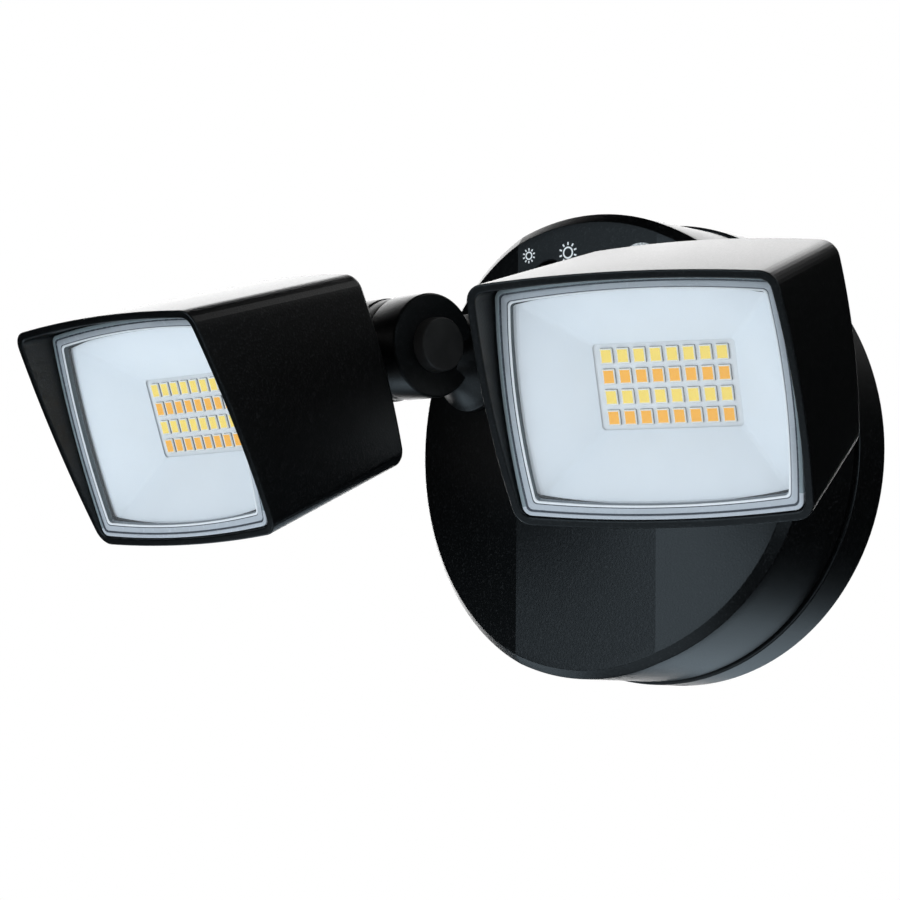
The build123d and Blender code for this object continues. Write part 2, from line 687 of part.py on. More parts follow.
# ---------------------------------------------------------------- arms
for side_name, side in sides.items():
    facet = facet_plane(side)
    knuckle = knuckle_plane(side)
    board = head_plane(side)

    with BuildPart() as arm:
        # flared collar on the facet, turned about the swivel axis
        with BuildSketch(Plane(origin=facet.origin, x_dir=facet.x_dir, z_dir=facet.y_dir * -1)):
            with BuildLine():
                collar_top = moving_gap + collar_thickness
                flare_foot = (collar_radius - collar_edge, collar_top)
                flare_head = (neck_radius, neck_length)
                flare_middle = (neck_radius + neck_flare, (collar_top + neck_length) / 2)
                Polyline(
                    flare_head,
                    (0, neck_length),
                    (0, moving_gap),
                    (collar_radius, moving_gap),
                    (collar_radius, collar_top - collar_edge),
                    flare_foot,
                )
                ThreePointArc(flare_foot, flare_middle, flare_head)
            make_face()
        revolve(axis=Axis(facet.origin, facet.z_dir))
        # scoop that lets the head's lug and its friction ring pass over the collar
        with BuildSketch(knuckle.offset(-eye_width / 2)):
            Circle(knuckle_radius + moving_gap)
        extrude(amount=-2 * collar_radius, mode=Mode.SUBTRACT)
        # round end that carries the tilt screw
        add(round_end(knuckle.offset(-eye_width / 2), eye_width))
        # threaded shank through the facet
        with BuildSketch(facet.offset(moving_gap)):
            Circle(shank_radius)
        extrude(amount=-shank_length)
        # wire way up the shank, and the tilt screw's bore and counterbore
        with BuildSketch(facet.offset(moving_gap - shank_length)):
            Circle(shank_radius - shank_wall)
        extrude(amount=shank_length, mode=Mode.SUBTRACT)
        with BuildSketch(knuckle.offset(-eye_width / 2)):
            Circle(pivot_screw_radius + running_gap)
        extrude(amount=eye_width, mode=Mode.SUBTRACT)
        with BuildSketch(knuckle.offset(eye_width / 2)):
            Circle(pivot_head_radius + bore_gap)
        extrude(amount=-(pivot_head_height + cap_spigot), mode=Mode.SUBTRACT)
    finish(arm, f"{side_name}_arm")

    with BuildPart() as arm_nut:
        nut_top = -drum_wall - lock_washer_thickness - moving_gap
        with BuildSketch(facet.offset(nut_top)):
            RegularPolygon(lock_nut_across / 2, 6, major_radius=False)
            Circle(shank_radius + thread_gap, mode=Mode.SUBTRACT)
        extrude(amount=-lock_nut_thickness)
    finish(arm_nut, f"{side_name}_arm_nut")

    with BuildPart() as arm_washer:
        with BuildSketch(facet.offset(-drum_wall)):
            Circle(lock_washer_radius)
            Circle(shank_radius + running_gap, mode=Mode.SUBTRACT)
        extrude(amount=-lock_washer_thickness)
    finish(arm_washer, f"{side_name}_arm_washer")

    screw_seat = knuckle.offset(pivot_screw_seat)
    with BuildPart() as pivot_screw:
        with BuildSketch(screw_seat):
            Circle(pivot_head_radius)
        extrude(amount=pivot_head_height)
        with BuildSketch(screw_seat):
            Circle(pivot_screw_radius)
        extrude(amount=-(pivot_screw_seat + lug_end + pivot_screw_end))
        with BuildSketch(screw_seat.offset(pivot_head_height)):
            RegularPolygon(hex_key / 2, 6, major_radius=False)
        extrude(amount=-hex_key_depth, mode=Mode.SUBTRACT)
    finish(pivot_screw, f"{side_name}_pivot_screw")

    with BuildPart() as pivot_cap:
        with BuildSketch(knuckle.offset(eye_width / 2)):
            Circle(pivot_cap_radius)
        extrude(amount=pivot_cap_height)
        cap_rim = pivot_cap.edges().filter_by(
            lambda e: (e.center() - knuckle.origin).dot(knuckle.z_dir) > (eye_width + pivot_cap_height) / 2
        )
        fillet(cap_rim, pivot_cap_edge)
        with BuildSketch(knuckle.offset(eye_width / 2)):
            Circle(pivot_head_radius + bore_gap)
        extrude(amount=-cap_spigot)
    finish(pivot_cap, f"{side_name}_pivot_cap")

    with BuildPart() as pivot_nut:
        with BuildSketch(knuckle.offset(-lug_end)):
            RegularPolygon(pivot_nut_across / 2, 6, major_radius=False)
            Circle(pivot_screw_radius + thread_gap, mode=Mode.SUBTRACT)
        extrude(amount=pivot_nut_height)
    finish(pivot_nut, f"{side_name}_pivot_nut")

    with BuildPart() as friction_ring:
        with BuildSketch(knuckle.offset(-ring_start)):
            Circle(knuckle_radius - ring_inset)
            Circle(pivot_screw_radius + ring_bore_gap, mode=Mode.SUBTRACT)
        extrude(amount=-friction_ring_width)
        chamfer(friction_ring.edges().filter_by(GeomType.CIRCLE).group_by(SortBy.RADIUS)[-1], ring_edge)
    finish(friction_ring, f"{side_name}_friction_ring")

    # ------------------------------------------------------------ head shell
    rim_front = rim_top + rim_spare
    rim_lean = (rim_top - rim_bottom) / (2 * head_half_height)
    seat_depth = lens_front - lens_thickness - lens_gasket_thickness
    with BuildPart() as head_housing:
        add(head_body(board, -head_back, rim_front))
        back_rim = head_housing.edges().filter_by(
            lambda e: abs((e.center() - board.origin).dot(board.z_dir) + head_back) < back_edge / 2
        )
        fillet(back_rim, back_edge)
        # the rim's plane leans back towards the bottom
        with BuildSketch(Plane(origin=board.origin, x_dir=board.z_dir, z_dir=board.x_dir * -1)):
            with BuildLine():
                reach = head_half_height + rim_cut_margin
                middle = (rim_top + rim_bottom) / 2
                Polyline(
                    (middle - reach * rim_lean, -reach),
                    (rim_front + rim_cut_margin, -reach),
                    (rim_front + rim_cut_margin, reach),
                    (middle + reach * rim_lean, reach),
                    close=True,
                )
            make_face()
        extrude(amount=head_half_width + rim_cut_margin, both=True, mode=Mode.SUBTRACT)
        # lug at the back, which carries the head on the arm
        add(round_end(knuckle.offset(-lug_end), lug_width))
        with BuildSketch(board.offset(overrun - head_back)):
            RectangleRounded(lug_root_width, lug_root_height, lug_corner)
        with BuildSketch(board.offset(-head_reach + knuckle_radius + moving_gap)):
            RectangleRounded(lug_width, lug_height, lug_corner)
        loft()
        with BuildSketch(board.offset(-head_reach + knuckle_radius + moving_gap)):
            RectangleRounded(lug_width, lug_height, lug_corner)
        extrude(amount=-knuckle_radius)
        # hollow for the lens, and behind its seat for the reflector and the LED board
        add(head_body(board, seat_depth, rim_front + overrun, rim_wall), mode=Mode.SUBTRACT)
        add(head_body(board, back_wall - head_back, seat_depth + overrun, seat_wall), mode=Mode.SUBTRACT)
        # bosses for the heat sink's screws
        with BuildSketch(board.offset(back_wall - head_back - overrun)):
            with GridLocations(head_boss_across, head_boss_up, 2, 2):
                Circle(head_boss_diameter / 2)
        extrude(amount=head_back - back_wall + overrun - board_thickness - sink_base)
        with BuildSketch(board.offset(-board_thickness - sink_base)):
            with GridLocations(head_boss_across, head_boss_up, 2, 2):
                Circle(head_screw_diameter / 2 + screw_clearance)
        extrude(amount=-head_screw_bite, mode=Mode.SUBTRACT)
        # tilt screw's bore and the pocket for its nut
        with BuildSketch(knuckle.offset(-lug_end)):
            Circle(pivot_screw_radius + running_gap)
        extrude(amount=lug_width, mode=Mode.SUBTRACT)
        with BuildSketch(knuckle.offset(-lug_end)):
            RegularPolygon(pivot_nut_across / 2 + screw_clearance, 6, major_radius=False)
        extrude(amount=pivot_nut_height, mode=Mode.SUBTRACT)
    finish(head_housing, f"{side_name}_head_housing")

    with BuildPart() as lens_gasket:
        add(head_body(board, seat_depth, seat_depth + lens_gasket_thickness, rim_wall + lens_gap))
        add(
            head_body(
                board, seat_depth - overrun, seat_depth + overrun, rim_wall + lens_gap + lens_gasket_width
            ),
            mode=Mode.SUBTRACT,
        )
    finish(lens_gasket, f"{side_name}_lens_gasket")

    with BuildPart() as lens:
        add(head_body(board, lens_front - lens_thickness, lens_front, rim_wall + lens_gap))
        add(
            head_body(
                board, lens_front - lens_recess, lens_front + overrun, rim_wall + lens_gap + lens_ledge
            ),
            mode=Mode.SUBTRACT,
        )
    finish(lens, f"{side_name}_lens")

    # white tray that slopes from the lens down to the window over the LEDs
    tray_top = seat_depth - reflector_drop
    tray_outer = seat_wall + reflector_gap
    tray_inner = tray_outer + reflector_flange
    tray_foot = led_thickness + lens_gap
    with BuildSketch(board.offset(tray_foot)) as foot_outer:
        RectangleRounded(
            window_width + 2 * reflector_wall,
            window_height + 2 * reflector_wall,
            window_corner + reflector_wall,
        )
    with BuildSketch(board.offset(tray_foot)) as foot_inner:
        RectangleRounded(window_width, window_height, window_corner)
    with BuildPart() as reflector:
        add(head_body(board, tray_top - reflector_wall, tray_top, tray_outer))
        loft([foot_outer.sketch, head_section(board, tray_top, tray_inner - reflector_wall)], ruled=True)
        loft([foot_inner.sketch, head_section(board, tray_top, tray_inner)], ruled=True, mode=Mode.SUBTRACT)
    finish(reflector, f"{side_name}_reflector")

    with BuildPart() as led_board:
        with BuildSketch(board.offset(-board_thickness)):
            RectangleRounded(led_board_width, led_board_height, board_corner)
            with GridLocations(head_boss_across, head_boss_up, 2, 2):
                Circle(head_screw_diameter / 2 + screw_clearance, mode=Mode.SUBTRACT)
        extrude(amount=board_thickness)
    finish(led_board, f"{side_name}_led_board")

    with BuildPart() as leds:
        with BuildSketch(board):
            with GridLocations(led_pitch_across, led_pitch_up, led_columns, led_rows):
                Rectangle(led_width, led_length)
        extrude(amount=led_thickness)
    finish(leds, f"{side_name}_leds")

    with BuildPart() as heat_sink:
        with BuildSketch(board.offset(-board_thickness - sink_base)):
            RectangleRounded(led_board_width, led_board_height, board_corner)
            with GridLocations(head_boss_across, head_boss_up, 2, 2):
                Circle(head_screw_diameter / 2 + screw_clearance, mode=Mode.SUBTRACT)
        extrude(amount=sink_base)
        with BuildSketch(board.offset(-board_thickness - sink_base)):
            fin_span = head_boss_across - head_boss_diameter - 2 * sink_fin_gap - sink_fin_thickness
            fin_pitch = fin_span / (sink_fins - 1)
            with GridLocations(fin_pitch, 1, sink_fins, 1):
                Rectangle(sink_fin_thickness, led_board_height)
        extrude(amount=sink_base - sink_depth)
    finish(heat_sink, f"{side_name}_heat_sink")

    with BuildPart() as head_screws:
        with Locations(board):
            with GridLocations(head_boss_across, head_boss_up, 2, 2):
                Cylinder(head_screw_head / 2, head_head_height, align=(Align.CENTER, Align.CENTER, Align.MIN))
                Cylinder(
                    head_screw_diameter / 2,
                    board_thickness + sink_base + head_screw_bite - screw_tip_gap,
                    align=(Align.CENTER, Align.CENTER, Align.MAX),
                )
    finish(head_screws, f"{side_name}_head_screws")
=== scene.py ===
# %% [markdown]
# # A motion sensor security light
# The light is a round drum on a canopy, with two lamp heads that swivel and tilt on knuckle arms.
# Its construction comes packed as a frame of solids at their real size. This script dresses that
# frame: it gives the shells their soft edges, the lenses their clear rims, the boards their LEDs,
# and every surface a finish made of shader nodes. Nothing here moves or resizes the frame.

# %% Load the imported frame
import json
from math import acos, asin, atan2, cos, pi, radians, sin, sqrt, tan

import bmesh
import bpy
from mathutils import Matrix, Vector


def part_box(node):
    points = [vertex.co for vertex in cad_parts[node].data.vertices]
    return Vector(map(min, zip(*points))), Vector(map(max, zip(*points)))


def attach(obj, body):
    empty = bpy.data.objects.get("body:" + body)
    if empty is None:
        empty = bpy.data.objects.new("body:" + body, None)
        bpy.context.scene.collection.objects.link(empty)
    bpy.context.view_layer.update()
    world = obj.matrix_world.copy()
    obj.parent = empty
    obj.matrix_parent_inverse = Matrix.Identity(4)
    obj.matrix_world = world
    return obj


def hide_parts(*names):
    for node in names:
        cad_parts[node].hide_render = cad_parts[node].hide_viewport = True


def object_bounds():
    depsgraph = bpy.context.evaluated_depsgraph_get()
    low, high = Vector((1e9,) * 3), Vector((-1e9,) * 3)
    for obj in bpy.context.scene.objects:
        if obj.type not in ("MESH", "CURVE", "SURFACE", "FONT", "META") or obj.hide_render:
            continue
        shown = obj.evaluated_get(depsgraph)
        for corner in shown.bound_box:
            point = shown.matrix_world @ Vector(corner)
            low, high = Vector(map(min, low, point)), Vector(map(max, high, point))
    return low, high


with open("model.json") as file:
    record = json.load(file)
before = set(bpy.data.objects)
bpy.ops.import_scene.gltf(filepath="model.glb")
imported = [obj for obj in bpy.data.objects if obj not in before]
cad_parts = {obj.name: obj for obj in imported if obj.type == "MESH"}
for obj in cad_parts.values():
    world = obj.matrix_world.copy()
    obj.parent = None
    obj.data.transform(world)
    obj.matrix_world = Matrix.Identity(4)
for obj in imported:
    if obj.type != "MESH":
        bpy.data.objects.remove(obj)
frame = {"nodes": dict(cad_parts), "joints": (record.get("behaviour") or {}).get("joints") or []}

MM = 0.001                                  # one millimetre, in the scene's metres
TINY = 1e-8                                 # lengths below this count as nothing
cad_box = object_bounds()
joints = {joint["name"]: joint for joint in frame["joints"]}
sides = {"left": -1, "right": 1}
print("frame:", len(frame["nodes"]), "nodes,", len(joints), "joints, box", cad_box)

# %% [markdown]
# ## Where things are
# Each head and arm has its own small coordinate frame: right, up and outwards. Written as a matrix,
# it lets a piece be shaped flat on the bench, in plain numbers, and then set in place with one
# multiplication. The places and directions come from the joints, so they can't drift from the frame.

# %% Frames of the arms and heads
HEAD_TILT = radians(19.2)                   # how far the beam points below the facet's normal
HEAD_REACH = 59.0 * MM                      # from the tilt axis to the face of the LED board
HEAD_SIDE = 16.9 * MM                       # from the arm's middle to the head's middle


def axes_matrix(origin, right, outward):
    """Matrix of a frame with X to the right, Y up and Z outwards."""
    up = outward.cross(right)
    columns = Matrix((right, up, outward)).transposed().to_4x4()
    return Matrix.Translation(origin) @ columns


facet_place, knuckle_place, head_place = {}, {}, {}
for name, side in sides.items():
    swivel, tilt = joints[f"{name}_swivel"], joints[f"{name}_tilt"]
    normal = Vector(swivel["axis"]).normalized() * side
    right = -Vector(tilt["axis"]).normalized()
    pivot = Vector(tilt["pos_m"])
    beam = normal * cos(HEAD_TILT) - Vector((0, 0, 1)) * sin(HEAD_TILT)
    facet_place[name] = axes_matrix(Vector(swivel["pos_m"]), right, normal)
    knuckle_place[name] = axes_matrix(pivot, normal, right * -side)
    head_place[name] = axes_matrix(pivot + right * side * HEAD_SIDE + beam * HEAD_REACH, right, beam)
    print(name, "LED board at", tuple(round(v / MM, 1) for v in head_place[name].translation), "mm")

# %% [markdown]
# ## Camera
# The camera stands where the photographer stood: to the right of the light and a little below it,
# with a long lens. A long lens far away keeps the two heads nearly the same size.

# %% Camera at the photograph's viewpoint
CAMERA_SPOT = Vector((0.50975, -0.77508, -0.07318))
CAMERA_AROUND, CAMERA_TILT, CAMERA_ROLL = radians(37.121), radians(94.618), radians(0.462)
CAMERA_LENS, CAMERA_SENSOR = 146.09, 36.0   # millimetres, as on a camera
NEAREST = 0.01

camera_data = bpy.data.cameras.new("photo_view")
camera_data.lens, camera_data.sensor_width = CAMERA_LENS, CAMERA_SENSOR
camera_data.clip_start = NEAREST
camera = bpy.data.objects.new("photo_view", camera_data)
bpy.context.scene.collection.objects.link(camera)
camera_turn = (
    Matrix.Rotation(CAMERA_AROUND, 4, "Z")
    @ Matrix.Rotation(CAMERA_TILT, 4, "X")
    @ Matrix.Rotation(CAMERA_ROLL, 4, "Z")
)
camera.matrix_world = Matrix.Translation(CAMERA_SPOT) @ camera_turn
bpy.context.scene.camera = camera
view_direction = -(camera_turn.to_3x3() @ Vector((0, 0, 1)))
print("camera looks along", tuple(round(v, 3) for v in view_direction))

# %% [markdown]
# ## Studio
# Black paint shows only what it reflects, so the light is mostly a set of large soft panels. One
# hangs behind on the left and draws the pale glare on the heads' tops. One stands in front and
# fills the white trays. Smaller ones lift the drum's side and its lower edge. What is left dark
# keeps the side walls black, which is what gives a black product its shape. The backdrop is a pale
# world seen by the camera and in reflections behind the object, and the floor is a plain pale sheet
# well below the light.

# %% World: a white backdrop, dark studio, soft fill
AMBIENT = 0.63                              # what matt surfaces receive from all round
STUDIO_DARK = 0.003                         # what glossy surfaces see away from the backdrop
BACKDROP_EDGE = cos(radians(20))            # the backdrop fades out between these two angles
BACKDROP_FULL = cos(radians(8))

bpy.context.scene.view_settings.view_transform = "Standard"


def add_node(tree, kind, **settings):
    """A node with its properties set, and unlinked inputs given by name or number."""
    node = tree.nodes.new(kind)
    for key, value in settings.pop("inputs", {}).items():
        node.inputs[key].default_value = value
    for key, value in settings.items():
        setattr(node, key, value)
    return node


def math_node(tree, operation, *values):
    """A Math node whose inputs are numbers or sockets."""
    node = add_node(tree, "ShaderNodeMath", operation=operation)
    for socket, value in zip(node.inputs, values):
        if isinstance(value, bpy.types.NodeSocket):
            tree.links.new(value, socket)
        else:
            socket.default_value = value
    return node.outputs[0]


def studio_world():
    """White to the camera, mostly dark to gloss, evenly grey to matt surfaces."""
    world = bpy.data.worlds.new("studio")
    world.use_nodes = True
    tree = world.node_tree
    background = tree.nodes["Background"]
    background.inputs["Color"].default_value = (1, 1, 1, 1)
    rays = add_node(tree, "ShaderNodeLightPath")
    direction = add_node(tree, "ShaderNodeTexCoord")
    facing = add_node(tree, "ShaderNodeVectorMath", operation="DOT_PRODUCT")
    facing.inputs[1].default_value = view_direction
    tree.links.new(direction.outputs["Generated"], facing.inputs[0])
    backdrop = add_node(tree, "ShaderNodeMapRange", interpolation_type="SMOOTHSTEP")
    for socket, value in (("From Min", BACKDROP_EDGE), ("From Max", BACKDROP_FULL), ("To Min", STUDIO_DARK)):
        backdrop.inputs[socket].default_value = value
    tree.links.new(facing.outputs["Value"], backdrop.inputs["Value"])
    glossy = math_node(tree, "MULTIPLY", rays.outputs["Is Glossy Ray"], backdrop.outputs["Result"])
    matt = math_node(tree, "MULTIPLY", rays.outputs["Is Diffuse Ray"], AMBIENT)
    seen = math_node(tree, "MAXIMUM", rays.outputs["Is Camera Ray"], rays.outputs["Is Transmission Ray"])
    total = math_node(tree, "ADD", math_node(tree, "ADD", glossy, matt), seen)
    tree.links.new(total, background.inputs["Strength"])
    return world


bpy.context.scene.world = studio_world()

# %% [markdown]
# A panel is an area lamp. Its brightness is given here as the brightness of its own surface, where
# 1 is paper white, because that is what the paint reflects. Blender wants watts, which are that
# times pi times the panel's area. Most panels are slightly blue like the sky, and so black paint
# gets its bluish cast.

# %% Soft panels
# name: direction from the light, distance, width, height, surface brightness, colour
WHITE, SKY = (1.0, 1.0, 1.0), (0.82, 1.02, 1.17)
panels = {
    "glare_panel": ((-0.65, 0.72, 0.22), 0.90, 0.86, 0.90, 3.7, WHITE),
    "key_panel": ((-0.24, -0.95, -0.10), 1.10, 0.72, 0.90, 2.1, SKY),
    "side_panel": ((0.98, -0.17, 0.00), 1.00, 0.60, 0.60, 1.3, SKY),
    "rear_panel": ((0.42, 0.60, 0.68), 1.00, 0.50, 0.50, 1.0, WHITE),
    "under_panel": ((-0.15, 0.84, -0.50), 0.50, 0.24, 0.20, 1.0, SKY),
    "low_panel": ((-0.71, 0.00, -0.71), 0.33, 0.20, 0.16, 1.2, SKY),
    "bounce_panel": ((0.05, -0.35, -0.93), 0.27, 0.26, 0.26, 0.6, SKY),
}
studio_centre = (cad_box[0] + cad_box[1]) / 2
for name, (toward, distance, width, height, brightness, colour) in panels.items():
    lamp = bpy.data.lights.new(name, "AREA")
    lamp.shape = "RECTANGLE"
    lamp.size, lamp.size_y = width, height
    lamp.energy = brightness * pi * width * height
    lamp.color = colour
    panel = bpy.data.objects.new(name, lamp)
    bpy.context.scene.collection.objects.link(panel)
    away = Vector(toward).normalized()
    turn = away.to_track_quat("Z", "Y").to_matrix().to_4x4()
    panel.matrix_world = Matrix.Translation(studio_centre + away * distance) @ turn
    panel.visible_camera = False
    print(name, round(lamp.energy, 2), "W")

# %% [markdown]
# ## Bench tools: from outlines to skins
# Almost every piece here is one of two things: a profile turned about an axis, as on a lathe, or a
# row of outlines joined by a skin. Both are rings of points, so one function, `skin`, joins rings,
# and the rest of the tools only make the rings. Edges are rounded in the profile itself, because a
# highlight along a rounded edge is what makes a casting look real.

# %% Skins from rings
SAME_PLACE = 0.0005 * MM                    # points closer than this are merged


def skin(rings, ends="cap"):
    """Mesh through rings of equally many points. Ends are capped, joined to each other or open."""
    bm = bmesh.new()
    loops = [[bm.verts.new(point) for point in ring] for ring in rings]
    if ends == "joined":
        loops.append(loops[0])
    for lower, upper in zip(loops, loops[1:]):
        count = max(len(lower), len(upper))
        for k in range(count if count > 1 else 0):
            corners = [lower[k % len(lower)], lower[(k + 1) % len(lower)]]
            corners += [upper[(k + 1) % len(upper)], upper[k % len(upper)]]
            bm.faces.new(list(dict.fromkeys(corners)))
    if ends == "cap":
        for loop in (loops[0], loops[-1]):
            if len(loop) > 2:
                bm.faces.new(loop)
    return mesh_from(bm)


def mesh_from(bm, name="bench"):
    """Merges doubles, turns the faces outwards and returns a mesh."""
    bmesh.ops.remove_doubles(bm, verts=bm.verts, dist=SAME_PLACE)
    bmesh.ops.recalc_face_normals(bm, faces=bm.faces)
    mesh = bpy.data.meshes.new(name)
    bm.to_mesh(mesh)
    bm.free()
    return mesh


def placed(mesh, matrix):
    """The mesh, moved from the bench to its place."""
    mesh.transform(matrix)
    mesh.update()
    return mesh


# %% [markdown]
# A profile is written as its sharp corners, each with the radius that rounds it. That is how a
# turner's drawing gives it, and a radius can be changed without moving any point by hand. The same
# rounded line serves turned pieces, flat outlines and the edge of the drum.

# %% Profiles with rounded corners
def rounded(corners, steps=4):
    """Polyline through (x, y, radius) corners, each rounded by an arc of that radius."""
    line = []
    for k, (x, y, radius) in enumerate(corners):
        here = Vector((x, y))
        if radius <= 0:
            line.append(here)
            continue
        before = (Vector(corners[k - 1][:2]) - here).normalized()
        after = (Vector(corners[(k + 1) % len(corners)][:2]) - here).normalized()
        half = before.angle(after) / 2
        reach = radius / tan(half)
        centre = here + (before + after).normalized() * radius / sin(half)
        start, stop = here + before * reach - centre, here + after * reach - centre
        turn = start.angle_signed(stop)
        for step in range(steps + 1):
            line.append(centre + Matrix.Rotation(-turn * step / steps, 2) @ start)
    return line


def round_ring(radius, height, around):
    """Points of a level circle about Z."""
    turn = [2 * pi * k / around for k in range(around)]
    return [(radius * cos(a), radius * sin(a), height) for a in turn]


def lathe(corners, around=96, ends="cap", steps=4):
    """Turned piece about Z from (radius, height, rounding) corners."""
    rings = []
    for radius, height in rounded(corners, steps):
        rings.append([(0, 0, height)] if radius < TINY else round_ring(radius, height, around))
    return skin(rings, ends)


def rod(radius, low, high, around=64):
    """Plain round tool for cutting or joining, from one height to another."""
    return lathe([(0, low, 0), (radius, low, 0), (radius, high, 0), (0, high, 0)], around)


def prism(outline, low, high):
    """Flat outline drawn out between two heights."""
    return skin([[(x, y, z) for x, y in outline] for z in (low, high)])


# %% [markdown]
# Holes, bosses and lugs are easier to cut and fuse than to weave into the rings. The exact boolean
# solver does that on closed skins, and `new_from_object` returns the result as a plain mesh.

# %% Cutting and fusing
def combined(mesh, tools, operation):
    """The mesh after each tool is cut from it or fused with it."""
    scene = bpy.context.scene
    work = bpy.data.objects.new("work", mesh)
    scene.collection.objects.link(work)
    helpers = []
    for tool in tools:
        helper = bpy.data.objects.new("tool", tool)
        scene.collection.objects.link(helper)
        helpers.append(helper)
        modifier = work.modifiers.new("bench", "BOOLEAN")
        modifier.operation = operation
        modifier.solver = "EXACT"
        modifier.object = helper
    bpy.context.view_layer.update()
    graph = bpy.context.evaluated_depsgraph_get()
    result = bpy.data.meshes.new_from_object(work.evaluated_get(graph))
    for used in [work, *helpers]:
        old = used.data
        bpy.data.objects.remove(used)
        bpy.data.meshes.remove(old)
    return result


def cut(mesh, *tools):
    return combined(mesh, tools, "DIFFERENCE")


def fused(mesh, *tools):
    return combined(mesh, tools, "UNION")


# %% [markdown]
# A finished piece is named, shaded smooth except at its real edges, given its finish, and tied to
# the body of the frame that it moves with. Where it stands for a plain solid of the frame, that
# solid is no longer shown.

# %% Finishing a piece
CREASE = radians(9)                         # edges sharper than this stay crisp


def finish_piece(name, mesh, body, materials, stands_for=(), crease=CREASE):
    """Object from the mesh, with its finish, its body and the frame's solids that it stands for."""
    mesh.name = name
    for material in materials:
        mesh.materials.append(material)
    mesh.polygons.foreach_set("use_smooth", [True] * len(mesh.polygons))
    mesh.set_sharp_from_angle(angle=crease)
    piece = bpy.data.objects.new(name, mesh)
    bpy.context.scene.collection.objects.link(piece)
    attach(piece, body)
    if stands_for:
        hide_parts(*stands_for)
    print(f"{name}: {len(mesh.polygons)} faces on {body}")
    return piece


def dress(material, *nodes):
    """Gives solids of the frame their finish, where their own shape is right as it is."""
    for node in nodes:
        mesh = frame["nodes"][node].data
        mesh.materials.clear()
        mesh.materials.append(material)
    print(material.name, "on", ", ".join(nodes))


# %% [markdown]
# ## Finishes
# Every finish starts from one Principled shader. Patterns are read in object coordinates, so they
# have a real size in millimetres and stay on the piece when it turns. Each pattern then drives
# one thing: a small change of colour, of gloss, or of height.

# %% Pattern helpers
def new_finish(name, metallic=0.0, specular=0.5):
    material = bpy.data.materials.new(name)
    material.use_nodes = True
    shader = material.node_tree.nodes["Principled BSDF"]
    shader.inputs["Metallic"].default_value = metallic
    shader.inputs["Specular IOR Level"].default_value = specular
    return material


def shader_of(material):
    return material.node_tree.nodes["Principled BSDF"]


def grain(material, size, detail=2.0, stretch=(1, 1, 1)):
    """Cloudy noise with features of about that size, in metres."""
    tree = material.node_tree
    place = add_node(tree, "ShaderNodeTexCoord")
    scale = add_node(tree, "ShaderNodeMapping", inputs={"Scale": stretch})
    noise = add_node(tree, "ShaderNodeTexNoise", inputs={"Scale": 1 / size, "Detail": detail})
    tree.links.new(place.outputs["Object"], scale.inputs["Vector"])
    tree.links.new(scale.outputs["Vector"], noise.inputs["Vector"])
    return noise.outputs["Fac"]


def cells(material, size, feature="F1"):
    """Rounded cells of about that size, in metres."""
    tree = material.node_tree
    place = add_node(tree, "ShaderNodeTexCoord")
    voronoi = add_node(tree, "ShaderNodeTexVoronoi", feature=feature, inputs={"Scale": 1 / size})
    tree.links.new(place.outputs["Object"], voronoi.inputs["Vector"])
    return voronoi.outputs["Distance"]


def tint(material, pattern, dark, light, low=0.35, high=0.65):
    """Colour that follows a pattern between two close shades."""
    tree = material.node_tree
    ramp = add_node(tree, "ShaderNodeValToRGB")
    ramp.color_ramp.elements[0].position, ramp.color_ramp.elements[1].position = low, high
    ramp.color_ramp.elements[0].color, ramp.color_ramp.elements[1].color = (*dark, 1), (*light, 1)
    tree.links.new(pattern, ramp.inputs["Fac"])
    tree.links.new(ramp.outputs["Color"], shader_of(material).inputs["Base Color"])


def gloss(material, pattern, smooth, rough):
    """Roughness that follows a pattern."""
    tree = material.node_tree
    spread = add_node(tree, "ShaderNodeMapRange", inputs={"From Min": 0.3, "From Max": 0.7})
    spread.inputs["To Min"].default_value, spread.inputs["To Max"].default_value = smooth, rough
    tree.links.new(pattern, spread.inputs["Value"])
    tree.links.new(spread.outputs["Result"], shader_of(material).inputs["Roughness"])


def relief(material, pattern, height, strength=1.0):
    """Fine height, added over any relief that is already there."""
    tree = material.node_tree
    bump = add_node(tree, "ShaderNodeBump", inputs={"Strength": strength, "Distance": height})
    normal = shader_of(material).inputs["Normal"]
    if normal.is_linked:
        tree.links.new(normal.links[0].from_socket, bump.inputs["Normal"])
    tree.links.new(pattern, bump.inputs["Height"])
    tree.links.new(bump.outputs["Normal"], normal)


# %% [markdown]
# The castings carry a satin black powder coat. Powder flows out in a fine pebbled skin: grains of
# half a millimetre over a hardly visible orange peel. One noise drives colour, gloss and height
# together: the tips of the grains are duller, and they are painted paler than the hollows as painted
# glints, standing in for the light they catch. At a grazing angle the grains catch the light, which
# greys the tops of the heads. The mouldings are smoother.

# %% Powder coat and moulded blacks
def powder_coat():
    material = new_finish("black_powder_coat", specular=0.5)
    pebbles = grain(material, 0.50 * MM, detail=2)
    peel = grain(material, 2.6 * MM, detail=1)
    # painted glints: the grains' tips are painted paler than the hollows
    tint(material, pebbles, (0.0008, 0.0009, 0.0011), (0.0120, 0.0130, 0.0140), 0.56, 0.74)
    gloss(material, pebbles, 0.37, 0.41)
    relief(material, peel, 0.0015 * MM, 0.5)
    relief(material, pebbles, 0.045 * MM, 0.8)
    return material


def moulded_black(name, shade, smooth, rough):
    material = new_finish(name)
    texture = grain(material, 0.25 * MM, detail=2)
    tint(material, grain(material, 5 * MM), (shade * 0.8,) * 3, (shade * 1.2,) * 3)
    gloss(material, texture, smooth, rough)
    relief(material, texture, 0.01 * MM, 0.5)
    return material


black_paint = powder_coat()
black_plastic = moulded_black("black_moulding", 0.016, 0.42, 0.52)
black_rubber = moulded_black("black_rubber", 0.012, 0.65, 0.8)
black_case = moulded_black("component_black", 0.02, 0.35, 0.5)
print("black finishes ready")

# %% [markdown]
# The gasket on the wall side is closed-cell foam. Cells of under a millimetre, with raised walls
# between them, make it read as foam and not as rubber.

